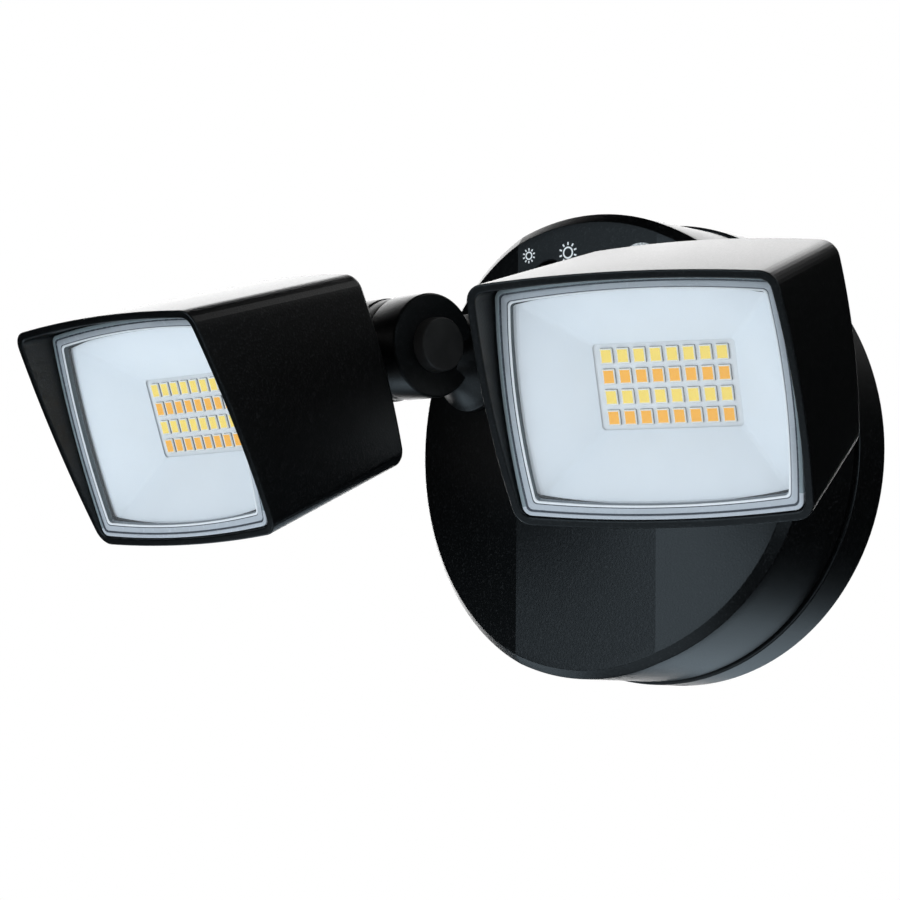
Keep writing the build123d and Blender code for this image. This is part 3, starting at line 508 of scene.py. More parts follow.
# %% Foam
def closed_cell_foam():
    material = new_finish("black_foam", specular=0.3)
    bubbles = cells(material, 0.7 * MM)
    tint(material, bubbles, (0.035, 0.035, 0.037), (0.012, 0.012, 0.013), 0.1, 0.6)
    gloss(material, bubbles, 0.8, 0.95)
    relief(material, bubbles, 0.1 * MM, 0.7)
    return material


foam = closed_cell_foam()
print(foam.name, "ready")

# %% [markdown]
# The trays are moulded in a bluish white with a soft sheen. The lenses are clear plastic. Their pane
# is nearly all see-through, and their rim is stepped, so that parts of it look milky, pale or dark.
# Real refraction would need many light bounces for a rim of three millimetres, so each step has a
# plastic of its own, told apart by how much it lets through. Part of that is painted light: the thin
# white line is a painted highlight, and the grooves are painted dark for the black seat seen through
# the clear plastic. The dome is milky all through, which is what a little subsurface scattering gives.

# %% Whites and clears
def tray_white():
    material = new_finish("tray_white", specular=0.35)
    tint(material, grain(material, 12 * MM), (0.835, 0.880, 0.925), (0.855, 0.900, 0.945))
    gloss(material, grain(material, 3 * MM), 0.38, 0.46)
    relief(material, grain(material, 0.3 * MM), 0.004 * MM, 0.4)
    return material


def clear_plastic(name, alpha, shade, smooth, rough):
    material = new_finish(name, specular=0.5)
    shader_of(material).inputs["Alpha"].default_value = alpha
    tint(material, grain(material, 6 * MM), tuple(c * 0.96 for c in shade), shade)
    gloss(material, grain(material, 1.5 * MM), smooth, rough)
    relief(material, grain(material, 4 * MM, detail=1), 0.004 * MM, 0.3)
    return material


reflector_white = tray_white()
lens_clear = clear_plastic("lens_pane", 0.045, (0.88, 0.92, 0.96), 0.05, 0.10)
lens_edge = clear_plastic("lens_edge", 0.62, (0.34, 0.41, 0.44), 0.12, 0.25)
# painted highlight: the thin white line of the rim
lens_highlight = clear_plastic("lens_highlight", 0.90, (0.90, 0.93, 0.96), 0.12, 0.25)
# painted dark: the grooves, standing for the black seat seen through clear plastic
lens_groove_painted_dark = clear_plastic("lens_groove_painted_dark", 0.80, (0.07, 0.08, 0.10), 0.20, 0.35)
lens_band = clear_plastic("lens_band", 0.85, (0.52, 0.56, 0.61), 0.15, 0.30)


def white_resin(name, light, size, smooth, rough):
    material = new_finish(name, specular=0.4)
    tint(material, grain(material, size), tuple(c * 0.95 for c in light), light)
    gloss(material, grain(material, size / 2), smooth, rough)
    relief(material, grain(material, size / 4), 0.006 * MM, 0.4)
    return material


board_white = white_resin("solder_mask_white", (0.88, 0.90, 0.92), 4 * MM, 0.30, 0.42)
package_white = white_resin("led_package", (0.94, 0.91, 0.82), 1.5 * MM, 0.32, 0.45)
# dark foot of each package: solder pads, darkened also as painted shadow
pad_and_shadow_dark = white_resin("led_pad_and_shadow", (0.14, 0.14, 0.16), 1.5 * MM, 0.40, 0.55)
dome_white = white_resin("sensor_dome", (0.70, 0.71, 0.71), 3 * MM, 0.30, 0.40)
shader_of(dome_white).inputs["Subsurface Weight"].default_value = 0.2
shader_of(dome_white).inputs["Subsurface Radius"].default_value = (2 * MM, 2 * MM, 2 * MM)
print("white and clear finishes ready")

# %% [markdown]
# Two kinds of LED share the board: a cool one under pale yellow phosphor and a warm one under
# orange. Phosphor is powder set in silicone, so it is speckled and soft. Each also has a little
# emission in its own colour, though the LEDs are off: a painted glow that makes the phosphor read
# brighter and more saturated.

# %% Phosphors
def phosphor(name, dark, light, painted_glow):
    material = new_finish(name, specular=0.4)
    powder = grain(material, 0.14 * MM, detail=4)
    tint(material, powder, dark, light, 0.30, 0.70)
    gloss(material, powder, 0.32, 0.48)
    relief(material, powder, 0.012 * MM, 0.5)
    # painted glow: emission on the phosphor of LEDs that are off
    shader_of(material).inputs["Emission Color"].default_value = (*painted_glow, 1)
    shader_of(material).inputs["Emission Strength"].default_value = 0.15
    return material


cool_phosphor = phosphor("cool_phosphor", (0.95, 0.66, 0.09), (1.00, 0.76, 0.16), (1.0, 0.75, 0.12))
warm_phosphor = phosphor("warm_phosphor", (1.00, 0.41, 0.015), (1.00, 0.50, 0.040), (1.0, 0.45, 0.02))
print(cool_phosphor.name, "and", warm_phosphor.name, "ready")

# %% [markdown]
# Metals are told apart by how they were worked. Zinc plating is mottled, extruded aluminium has
# long fine lines, and the sensor's can is drawn and nickel plated, so it is almost smooth.

# %% Metals
def metal(name, dark, light, size, smooth, rough, stretch=(1, 1, 1), height=0.004):
    material = new_finish(name, metallic=1.0)
    texture = grain(material, size, detail=4, stretch=stretch)
    tint(material, texture, dark, light, 0.25, 0.75)
    gloss(material, texture, smooth, rough)
    relief(material, texture, height * MM, 0.4)
    return material


ALONG_Z = (1, 1, 0.04)                      # draws the noise out into lines along Z
zinc = metal("zinc_plated_steel", (0.46, 0.46, 0.44), (0.66, 0.66, 0.64), 1.8 * MM, 0.30, 0.44)
nickel = metal("nickel_can", (0.62, 0.60, 0.56), (0.72, 0.70, 0.66), 3 * MM, 0.16, 0.24)
aluminium = metal(
    "extruded_aluminium", (0.55, 0.56, 0.57), (0.70, 0.71, 0.72), 0.6 * MM, 0.32, 0.46, ALONG_Z
)


def green_dye():
    material = new_finish("earth_green", metallic=0.6)
    texture = grain(material, 0.9 * MM, detail=3)
    tint(material, texture, (0.02, 0.22, 0.06), (0.05, 0.34, 0.11))
    gloss(material, texture, 0.3, 0.42)
    relief(material, texture, 0.004 * MM, 0.5)
    return material


earth_green = green_dye()
print("metals ready")

# %% [markdown]
# A green circuit board is laminate under a tinted lacquer, with copper tracks that show through as
# slightly lighter strips. A brick pattern gives tracks of even width without drawing a circuit.

# %% Circuit board
def circuit_green():
    material = new_finish("circuit_board", specular=0.5)
    tree = material.node_tree
    place = add_node(tree, "ShaderNodeTexCoord")
    turned = add_node(tree, "ShaderNodeMapping", inputs={"Rotation": (pi / 2, 0, 0)})
    tracks = add_node(tree, "ShaderNodeTexBrick", offset=0.37, squash=0.6)
    for key, value in (("Scale", 1 / (9 * MM)), ("Mortar Size", 0.05), ("Mortar Smooth", 0.1)):
        tracks.inputs[key].default_value = value
    tree.links.new(place.outputs["Object"], turned.inputs["Vector"])
    tree.links.new(turned.outputs["Vector"], tracks.inputs["Vector"])
    tint(material, tracks.outputs["Fac"], (0.012, 0.105, 0.040), (0.030, 0.200, 0.075), 0.2, 0.8)
    gloss(material, grain(material, 1.2 * MM), 0.28, 0.40)
    relief(material, tracks.outputs["Fac"], 0.02 * MM, 0.5)
    return material


board_green = circuit_green()
print(board_green.name, "ready")

# %% [markdown]
# The marks beside the knobs are printed in pale ink. Ink on a pebbled coat breaks up over the
# hollows, most of all in the wedge, which is printed as a tint and not as a solid.

# %% Printed marks
def printed_ink(name, light, dark, low, high):
    material = new_finish(name, specular=0.3)
    break_up = grain(material, 0.35 * MM, detail=3)
    tint(material, break_up, dark, light, low, high)
    gloss(material, break_up, 0.5, 0.65)
    relief(material, break_up, 0.01 * MM, 0.5)
    return material


mark_ink = printed_ink("pale_ink", (0.90, 0.93, 0.94), (0.45, 0.47, 0.48), 0.15, 0.35)
wedge_ink = printed_ink("tinted_ink", (0.70, 0.72, 0.72), (0.20, 0.21, 0.22), 0.32, 0.60)
print(len(bpy.data.materials), "materials")

# %% [markdown]
# ## Canopy
# The canopy is a cast dish that covers the wall box. On the bench it is a turned profile,
# so the rounded rear edge and the crisp front edge are just two corners with different radii.

# %% Canopy
def depth_frame(x=0.0, height=0.0):
    """Frame on the wall plane: its Z runs out of the wall."""
    return axes_matrix(Vector((x, 0, height)), Vector((1, 0, 0)), Vector((0, -1, 0)))


canopy_low, canopy_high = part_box("canopy")
CANOPY_RADIUS = (canopy_high.x - canopy_low.x) / 2
CANOPY_FRONT, CANOPY_BACK = -canopy_low.y, -canopy_high.y
CANOPY_WALL = 2.4 * MM
CANOPY_FLOOR = 2.5 * MM
LOCK_SCREW_HEIGHT, LOCK_SCREW_SEAT = 7.0 * MM, 1.6 * MM
LOCK_SCREW_HEAD, LOCK_SCREW_HOLE = 3.6 * MM, 2.1 * MM
DRUM_SCREW_HOLE = 1.6 * MM
SCREW_GRID = [(x * MM, z * MM) for x in (-25, 25) for z in (-42, 42)]
GROMMET_CENTRE, GROMMET_RADIUS = -17 * MM, 8.0 * MM
THROUGH = 20 * MM                           # long enough to cut through the canopy's floor

canopy_profile = [
    (CANOPY_RADIUS, CANOPY_BACK, 1.0 * MM),
    (CANOPY_RADIUS, CANOPY_FRONT, 0.45 * MM),
    (0, CANOPY_FRONT, 0),
    (0, CANOPY_FRONT - CANOPY_FLOOR, 0),
    (CANOPY_RADIUS - CANOPY_WALL, CANOPY_FRONT - CANOPY_FLOOR, 1.0 * MM),
    (CANOPY_RADIUS - CANOPY_WALL, CANOPY_BACK, 0.3 * MM),
]
canopy = lathe(canopy_profile, around=192, ends="joined")
tools = []
for x, z in SCREW_GRID:
    tools.append(placed(rod(DRUM_SCREW_HOLE, 0, THROUGH, 32), Matrix.Translation((x, z, 0))))
tools.append(placed(rod(GROMMET_RADIUS, 0, THROUGH), Matrix.Translation((0, GROMMET_CENTRE, 0))))
seat = CANOPY_RADIUS - LOCK_SCREW_SEAT
for end in (1, -1):
    across = Matrix.Translation((0, 0, LOCK_SCREW_HEIGHT)) @ Matrix.Rotation(-end * pi / 2, 4, "X")
    tools.append(placed(rod(LOCK_SCREW_HEAD, seat, seat + 9 * MM, 48), across))
    tools.append(placed(rod(LOCK_SCREW_HOLE, seat - 6 * MM, seat + 1 * MM, 32), across))
canopy = placed(cut(canopy, *tools), depth_frame())
finish_piece("canopy_shell", canopy, "base", [black_paint], ["canopy"])

# %% [markdown]
# ## Drum
# The drum's front is flat in the middle and slopes back by the same angle on both sides. A lathe
# can't turn that, but rings still can make it: each ring is a circle seen from the front, and its
# depth at each point is read off the three planes. The points are spaced so that every ring has a
# corner exactly where two planes meet, which keeps that edge straight and crisp.

# %% Drum rings
drum_low, drum_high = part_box("drum_housing")
DRUM_RADIUS = (drum_high.x - drum_low.x) / 2
DRUM_FRONT = -drum_low.y
DRUM_BACK = CANOPY_FRONT + 0.9 * MM
DRUM_WALL = 2.5 * MM
DRUM_BEVEL = 2.1 * MM
HALF_BAND = 41.4 * MM / 2                   # half the width of the flat middle
facet_normal = facet_place["right"].to_3x3() @ Vector((0, 0, 1))
FACET_ANGLE = atan2(facet_normal.x, -facet_normal.y)


def front_at(x, inset=0.0):
    """Distance from the wall to the drum's front, or to its inside, at this place across."""
    bend = HALF_BAND - inset * tan(FACET_ANGLE / 2)
    return DRUM_FRONT - inset - max(0.0, abs(x) - bend) * tan(FACET_ANGLE)


FACET_STEPS, BAND_STEPS = 64, 24


def drum_ring(radius, depth=None, drop=0.0, inset=0.0):
    """Ring at a fixed depth, or that far below the front."""
    bend = acos((HALF_BAND - inset * tan(FACET_ANGLE / 2)) / radius)
    stops = [-bend, bend, pi - bend, pi + bend, 2 * pi - bend]
    ring = []
    for start, stop, steps in zip(stops, stops[1:], (FACET_STEPS, BAND_STEPS) * 2):
        for k in range(steps):
            angle = start + (stop - start) * k / steps
            x = radius * cos(angle)
            out = depth if depth is not None else front_at(x, inset) - drop
            ring.append((x, radius * sin(angle), out))
    return ring


# %% [markdown]
# The shell runs through those rings from the front's edge, over the bevel and down the side, and
# back up inside. Both fronts are closed by three flat faces, one for each plane, so the middle band
# and the two facets meet in straight lines. A single cap would be bent and would shade badly.

# %% Drum shell
def drum_shell():
    edge = rounded(
        [
            (DRUM_RADIUS, DRUM_BEVEL + 4 * MM, 0),
            (DRUM_RADIUS, DRUM_BEVEL, 0.5 * MM),
            (DRUM_RADIUS - DRUM_BEVEL, 0, 0.5 * MM),
            (DRUM_RADIUS - DRUM_BEVEL - 2 * MM, 0, 0),
        ]
    )
    inner = DRUM_RADIUS - DRUM_WALL
    rings = [drum_ring(radius, drop=drop) for radius, drop in edge[::-1]]
    rings += [
        drum_ring(DRUM_RADIUS, DRUM_BACK + 0.4 * MM),
        drum_ring(DRUM_RADIUS - 0.4 * MM, DRUM_BACK),
        drum_ring(inner, DRUM_BACK),
        drum_ring(inner, inset=DRUM_WALL),
    ]
    bm = bmesh.new()
    loops = [[bm.verts.new(point) for point in ring] for ring in rings]
    count = len(loops[0])
    for lower, upper in zip(loops, loops[1:]):
        for k in range(count):
            bm.faces.new([lower[k], lower[(k + 1) % count], upper[(k + 1) % count], upper[k]])
    first, second = FACET_STEPS, FACET_STEPS + BAND_STEPS
    third = second + FACET_STEPS
    for loop in (loops[0], loops[-1]):
        bm.faces.new(loop[: first + 1])
        bm.faces.new(loop[second : third + 1])
        bm.faces.new(loop[first : second + 1] + loop[third:] + loop[:1])
    return mesh_from(bm)


shell = drum_shell()
print("drum shell:", len(shell.polygons), "faces, facets at", round(FACET_ANGLE * 180 / pi, 1), "degrees")

# %% [markdown]
# Inside, the drum has bosses for the screws from the canopy, posts for two circuit boards and a
# cup round each knob. Nobody sees them on the wall, but they are what makes the casting a
# casting, and each is a rod fused to the shell and then drilled.

# %% Bosses, posts, cups and holes
CONTROL_FACE, DRIVER_FACE = 35.6 * MM, 19.0 * MM
EYE_HEIGHT, EYE_RADIUS = 6.0 * MM, 12.0 * MM
KNOB_HEIGHT = joints["dusk_knob_turn"]["pos_m"][2]
knob_sides = {knob: joints[f"{knob}_turn"]["pos_m"][0] for knob in ("dusk_knob", "time_knob")}
RECESS_RADIUS, RECESS_DEPTH, CUP_WALL = 5.6 * MM, 4.4 * MM, 1.3 * MM
POST_RADIUS, PILOT_RADIUS = 2.5 * MM, 1.2 * MM
MOUTH = 0.35 * MM                           # chamfer where a hole breaks the painted front
INTO_WALL = 0.8 * MM                        # how far a boss reaches into the wall it stands on
SHAFT_HOLE, SWIVEL_HOLE = 1.86 * MM, 6.06 * MM

control_posts = [(x * MM, z * MM) for x in (-15.5, 15.5) for z in (-11, 27)]
driver_posts = [(x * MM, z * MM) for x in (-36, 36) for z in (-27, 9)]


def drum_rod(radius, x, z, low, high, around=40):
    return placed(rod(radius, low, high, around), Matrix.Translation((x, z, 0)))


# radius of the boss, radius of its hole, where the boss starts, depth of the hole, and the places
fixings = [(3.7 * MM, DRUM_SCREW_HOLE, CANOPY_FRONT, 11 * MM, SCREW_GRID)]
fixings.append((POST_RADIUS, PILOT_RADIUS, CONTROL_FACE, 5 * MM, control_posts))
fixings.append((POST_RADIUS, PILOT_RADIUS, DRIVER_FACE, 5 * MM, driver_posts))
raised, holes = [], []
for radius, pilot, low, depth, places in fixings:
    for x, z in places:
        raised.append(drum_rod(radius, x, z, low, front_at(x, DRUM_WALL) + INTO_WALL))
        holes.append(drum_rod(pilot, x, z, low - 1 * MM, low + depth, 24))
for x in knob_sides.values():
    floor, inside = DRUM_FRONT - RECESS_DEPTH, DRUM_FRONT - DRUM_WALL
    cup_radius = RECESS_RADIUS + CUP_WALL
    raised.append(drum_rod(cup_radius, x, KNOB_HEIGHT, floor - CUP_WALL, inside + INTO_WALL, 64))
    recess = [
        (0, floor, 0),
        (RECESS_RADIUS, floor, 0.5 * MM),
        (RECESS_RADIUS, DRUM_FRONT - MOUTH, 0),
        (RECESS_RADIUS + 2 * MOUTH, DRUM_FRONT + MOUTH, 0),
        (0, DRUM_FRONT + MOUTH, 0),
    ]
    holes.append(placed(lathe(recess, 64), Matrix.Translation((x, KNOB_HEIGHT, 0))))
    holes.append(drum_rod(SHAFT_HOLE, x, KNOB_HEIGHT, CONTROL_FACE, DRUM_FRONT))
eye_hole = [
    (0, DRUM_FRONT - 5 * MM, 0),
    (EYE_RADIUS + 0.1 * MM, DRUM_FRONT - 5 * MM, 0),
    (EYE_RADIUS + 0.1 * MM, DRUM_FRONT - MOUTH, 0),
    (EYE_RADIUS + 2 * MOUTH, DRUM_FRONT + MOUTH, 0),
    (0, DRUM_FRONT + MOUTH, 0),
]
holes.append(placed(lathe(eye_hole, 96), Matrix.Translation((0, EYE_HEIGHT, 0))))
from_wall = depth_frame()
for name in sides:
    to_bench = from_wall.inverted() @ facet_place[name]
    holes.append(placed(rod(SWIVEL_HOLE, -5 * MM, 5 * MM, 64), to_bench))
drum = placed(cut(fused(shell, *raised), *holes), from_wall)
finish_piece("drum_shell", drum, "base", [black_paint], ["drum_housing"], radians(7))

# %% [markdown]
# ## Marks beside the knobs
# A small sun and a large sun stand at the two ends of the dusk knob's travel. Both are one Geometry
# Nodes tree: a ring swept by a thin square profile, and rays instanced on a circle. The sizes are
# inputs of the tree, so the second sun is the same tree with other numbers.

# %% Geometry Nodes helpers
def new_tree(name, inputs):
    """Geometry tree with named inputs: {"Ray Count": ("NodeSocketInt", 10), ...}."""
    tree = bpy.data.node_groups.new(name, "GeometryNodeTree")
    tree.interface.new_socket("Geometry", in_out="INPUT", socket_type="NodeSocketGeometry")
    tree.interface.new_socket("Geometry", in_out="OUTPUT", socket_type="NodeSocketGeometry")
    for label, (kind, value) in inputs.items():
        socket = tree.interface.new_socket(label, in_out="INPUT", socket_type=kind)
        if value is not None:
            socket.default_value = value
    start, end = add_node(tree, "NodeGroupInput"), add_node(tree, "NodeGroupOutput")
    return tree, start, end


def run_tree(tree, settings):
    """Plain mesh that the tree makes with these inputs."""
    holder = bpy.data.objects.new("holder", bpy.data.meshes.new("holder"))
    bpy.context.scene.collection.objects.link(holder)
    modifier = holder.modifiers.new("nodes", "NODES")
    modifier.node_group = tree
    for item in tree.interface.items_tree:
        if item.in_out == "INPUT" and item.name in settings:
            modifier[item.identifier] = settings[item.name]
    bpy.context.view_layer.update()
    graph = bpy.context.evaluated_depsgraph_get()
    mesh = bpy.data.meshes.new_from_object(holder.evaluated_get(graph))
    holder.modifiers.clear()
    bpy.data.objects.remove(holder)
    return mesh


def chain(tree, *sockets):
    """Links output to input for each pair in the row."""
    for output, entry in zip(sockets[::2], sockets[1::2]):
        tree.links.new(output, entry)


# %% [markdown]
# In the tree, the ring is a curve circle with a flat square swept round it. The rays are one small
# block, instanced on the points of a second circle and turned to look away from the centre. Realize
# Instances and Set Material come last, so that plain faces with ink on them leave the tree.

# %% The sun tree
INK = 0.03 * MM                             # thickness of the print

sun_tree, start, end = new_tree(
    "sun_mark",
    {
        "Ring Radius": ("NodeSocketFloat", 1.0 * MM),
        "Line": ("NodeSocketFloat", 0.3 * MM),
        "Ray Start": ("NodeSocketFloat", 1.4 * MM),
        "Ray Length": ("NodeSocketFloat", 0.5 * MM),
        "Ray Count": ("NodeSocketInt", 10),
        "Ink": ("NodeSocketMaterial", None),
    },
)
circle = add_node(sun_tree, "GeometryNodeCurvePrimitiveCircle", inputs={"Resolution": 48})
section = add_node(sun_tree, "GeometryNodeCurvePrimitiveQuadrilateral", inputs={"Height": INK})
band = add_node(sun_tree, "GeometryNodeCurveToMesh")
ring_points = add_node(sun_tree, "GeometryNodeMeshCircle")
ray = add_node(sun_tree, "GeometryNodeMeshCube")
size = add_node(sun_tree, "ShaderNodeCombineXYZ", inputs={"Z": INK})
middle = math_node(sun_tree, "MULTIPLY_ADD", start.outputs["Ray Length"], 0.5, start.outputs["Ray Start"])
stand = add_node(sun_tree, "GeometryNodeInstanceOnPoints")
spot = add_node(sun_tree, "GeometryNodeInputPosition")
aim = add_node(sun_tree, "FunctionNodeAlignRotationToVector", axis="X")
union = add_node(sun_tree, "GeometryNodeJoinGeometry")
real = add_node(sun_tree, "GeometryNodeRealizeInstances")
paint = add_node(sun_tree, "GeometryNodeSetMaterial")
chain(
    sun_tree,
    start.outputs["Ring Radius"], circle.inputs["Radius"],
    start.outputs["Line"], section.inputs["Width"],
    circle.outputs["Curve"], band.inputs["Curve"],
    section.outputs["Curve"], band.inputs["Profile Curve"],
    start.outputs["Ray Count"], ring_points.inputs["Vertices"],
    middle, ring_points.inputs["Radius"],
    start.outputs["Ray Length"], size.inputs["X"],
    start.outputs["Line"], size.inputs["Y"],
    size.outputs["Vector"], ray.inputs["Size"],
    ring_points.outputs["Mesh"], stand.inputs["Points"],
    ray.outputs["Mesh"], stand.inputs["Instance"],
    spot.outputs["Position"], aim.inputs["Vector"],
    aim.outputs["Rotation"], stand.inputs["Rotation"],
    band.outputs["Mesh"], union.inputs["Geometry"],
    stand.outputs["Instances"], union.inputs["Geometry"],
    union.outputs["Geometry"], real.inputs["Geometry"],
    real.outputs["Geometry"], paint.inputs["Geometry"],
    start.outputs["Ink"], paint.inputs["Material"],
    paint.outputs["Geometry"], end.inputs["Geometry"],
)
print(sun_tree.name, "has", len(sun_tree.nodes), "nodes")

# %% [markdown]
# The smaller sun means that the light waits for dusk, and the larger that it works by day too.
# Both stand on the flat band, one on each side of the dusk knob and a little above it.

# %% Both suns
# centre across and up, ring radius, line, ray start and length
suns = {
    "small_sun_mark": (-17.4, 47.9, 0.88, 0.36, 1.30, 0.58),
    "large_sun_mark": (-5.56, 47.8, 1.32, 0.42, 1.88, 0.76),
}
for name, (x, z, ring, line, begin, length) in suns.items():
    numbers = {"Ring Radius": ring, "Line": line, "Ray Start": begin, "Ray Length": length}
    settings = {key: value * MM for key, value in numbers.items()}
    settings.update({"Ray Count": 10, "Ink": mark_ink})
    sun = run_tree(sun_tree, settings)
    upright = Matrix.Translation((0, 0, DRUM_FRONT)) @ Matrix.Rotation(pi / 2, 4, "Z")
    placed(sun, depth_frame(x * MM, z * MM) @ upright)
    finish_piece(name, sun, "base", [mark_ink])

# %% [markdown]
# The time knob's scale is a wedge that swells along an arc. Its inner edge is part of a circle and
# its outer edge slowly leaves that circle, so the outline is a formula of the angle and needs no
# list of points.

# %% Wedge
WEDGE_INNER = 6.4 * MM
WEDGE_START, WEDGE_END = radians(127), radians(49)
WEDGE_THIN, WEDGE_THICK = 0.25 * MM, 1.95 * MM
outer_arc, inner_arc = [], []
for k in range(41):
    share = k / 40
    angle = WEDGE_START + (WEDGE_END - WEDGE_START) * share
    width = WEDGE_THIN + (WEDGE_THICK - WEDGE_THIN) * sqrt(share)
    outer_arc.append(((WEDGE_INNER + width) * cos(angle), (WEDGE_INNER + width) * sin(angle)))
    inner_arc.append((WEDGE_INNER * cos(angle), WEDGE_INNER * sin(angle)))
wedge = prism(outer_arc + inner_arc[::-1], DRUM_FRONT - INK / 2, DRUM_FRONT + INK / 2)
placed(wedge, depth_frame(knob_sides["time_knob"] + 1.5 * MM, KNOB_HEIGHT))
finish_piece("time_wedge_mark", wedge, "base", [wedge_ink])

# %% [markdown]
# ## Knobs
# Each knob is a small moulded dial sunk in its recess, with a finger bar across it. The rim has
# fine flutes, made by letting the radius of one ring rise and fall as it goes round.

# %% Knobs
KNOB_RADIUS, KNOB_BASE, GRIP_HEIGHT, GRIP_WIDTH = 4.7 * MM, 1.5 * MM, 2.0 * MM, 2.4 * MM
FLUTES, FLUTE_DEPTH = 24, 0.12 * MM
GRIP_TURN, KNOB_SHAFT = radians(120), 1.8 * MM
knob_foot = DRUM_FRONT - RECESS_DEPTH + 0.4 * MM


def fluted_ring(radius, height, depth, points=240):
    ring = []
    for k in range(points):
        angle = 2 * pi * k / points
        reach = radius - depth * (0.5 - 0.5 * cos(FLUTES * angle))
        ring.append((reach * cos(angle), reach * sin(angle), height))
    return ring


def slot_outline(length, width, steps=12):
    """Outline with round ends along X."""
    half = (length - width) / 2
    outline = []
    for k in range(2 * steps + 2):
        right_end = k <= steps
        angle = -pi / 2 + pi * (k if right_end else k - 1) / steps
        outline.append(((half if right_end else -half) + width / 2 * cos(angle), width / 2 * sin(angle)))
    return outline


for knob, x in knob_sides.items():
    soft = 0.3 * MM
    dial = skin(
        [
            fluted_ring(KNOB_RADIUS - soft, 0, 0),
            fluted_ring(KNOB_RADIUS, soft, FLUTE_DEPTH),
            fluted_ring(KNOB_RADIUS, KNOB_BASE - soft, FLUTE_DEPTH),
            fluted_ring(KNOB_RADIUS - soft, KNOB_BASE, 0),
        ]
    )
    length = 2 * KNOB_RADIUS - 0.8 * MM
    top = KNOB_BASE + GRIP_HEIGHT
    levels = [(KNOB_BASE - 0.2 * MM, 0), (top - soft, 0.1 * MM), (top - 0.08 * MM, 0.2 * MM), (top, 0.4 * MM)]
    rings = []
    for height, inset in levels:
        outline = slot_outline(length - 2 * inset, GRIP_WIDTH - 2 * inset)
        rings.append([(px, py, height) for px, py in outline])
    grip = skin(rings)
    placed(grip, Matrix.Rotation(GRIP_TURN, 4, "Z"))
    shaft = rod(KNOB_SHAFT, -5.5 * MM, 0.5 * MM, 40)
    knob_mesh = fused(dial, grip, shaft)
    placed(knob_mesh, depth_frame(x, KNOB_HEIGHT) @ Matrix.Translation((0, 0, knob_foot)))
    finish_piece(f"{knob}_dial", knob_mesh, knob, [black_plastic], [knob], radians(25))

# %% [markdown]
# ## Sensor dome
# The milky dome is a lens: each small facet focuses a different direction on the sensor behind it.
# The facets lie in rows like tiles. The dome is rings again, and the height of every point swells
# a little towards the middle of the tile that it is in.

# %% Sensor dome
EYE_BULGE, EYE_SKIN = 8.5 * MM, 1.0 * MM
TILE_ROWS, TILE_STEPS, TILE_SWELL, TILES_ROUND = 5, 6, 0.16 * MM, 16
SUNK = 0.18 * MM                            # the tiles swell out of a surface this far down
DOME_AROUND, INSIDE_STEPS = 240, 8
SKIRT_DEPTH, FLANGE = DRUM_WALL + 1.4 * MM, 2.5 * MM
DOME_RADIUS = (EYE_RADIUS**2 + EYE_BULGE**2) / (2 * EYE_BULGE)


def dome_point(lean, turn, shrink=0.0, swell=0.0):
    reach = DOME_RADIUS - shrink + swell
    top = EYE_BULGE - DOME_RADIUS
    return (reach * sin(lean) * cos(turn), reach * sin(lean) * sin(turn), top + reach * cos(lean))


def tiled_ring(k, steps):
    """Ring of the outside, the given number of steps down from the top."""
    lean = asin(EYE_RADIUS / DOME_RADIUS) * k / steps
    row_share = (k / TILE_STEPS) % 1.0
    ring = []
    for step in range(DOME_AROUND):
        turn = 2 * pi * step / DOME_AROUND
        tile_share = (turn / (2 * pi) * TILES_ROUND) % 1.0
        bowl = (4 * row_share * (1 - row_share)) * (4 * tile_share * (1 - tile_share))
        ring.append(dome_point(lean, turn, SUNK, TILE_SWELL * bowl if k < steps else 0))
    return ring


def plain_ring(k):
    """Ring of the inside, counted the same way."""
    lean = asin((EYE_RADIUS - EYE_SKIN) / (DOME_RADIUS - EYE_SKIN)) * k / INSIDE_STEPS
    return [dome_point(lean, 2 * pi * s / DOME_AROUND, EYE_SKIN) for s in range(DOME_AROUND)]


inside = [[dome_point(0, 0, EYE_SKIN)]] + [plain_ring(k) for k in range(1, INSIDE_STEPS + 1)]
skirt = [(EYE_RADIUS - EYE_SKIN, -SKIRT_DEPTH), (EYE_RADIUS + FLANGE, -SKIRT_DEPTH)]
skirt += [(EYE_RADIUS + FLANGE, -DRUM_WALL), (EYE_RADIUS, -DRUM_WALL)]
foot = [round_ring(radius, height, DOME_AROUND) for radius, height in skirt]
row_steps = TILE_ROWS * TILE_STEPS
outside = [tiled_ring(k, row_steps) for k in range(row_steps, 0, -1)] + [[dome_point(0, 0, SUNK)]]
dome = skin(inside + foot + outside, ends="open")
placed(dome, depth_frame(0, EYE_HEIGHT) @ Matrix.Translation((0, 0, DRUM_FRONT)))
finish_piece("sensor_dome", dome, "base", [dome_white], ["sensor_lens"], radians(14))

# %% [markdown]
# ## Arms
# Each arm is one casting: a collar that turns on the facet, a flared neck, and a round end that
# carries the tilt screw. The collar and neck are turned, the end is a disc, and a scoop is cut so
# that the head's lug can pass. The threaded shank goes through the facet to its nut.

# %% Flare and disc
KNUCKLE_RADIUS, EYE_WIDTH, RUNNING = 13.0 * MM, 11.0 * MM, 0.3 * MM
COLLAR_RADIUS, COLLAR_TOP, NECK_RADIUS, NECK_TOP = 12.3 * MM, 2.7 * MM, 6.2 * MM, 11.2 * MM


def flare(start, middle, stop, steps=14):
    """Arc through three (radius, height) points."""
    a, b, c = (Vector(p) for p in (start, middle, stop))
    ab, ac = b - a, c - a
    cross = 2 * (ab.x * ac.y - ab.y * ac.x)
    centre = a + Vector((ac.y * ab.length_squared - ab.y * ac.length_squared,
                         ab.x * ac.length_squared - ac.x * ab.length_squared)) / cross
    first, last = a - centre, c - centre
    turn = first.angle_signed(last)
    return [centre + Matrix.Rotation(-turn * k / steps, 2) @ first for k in range(steps + 1)]


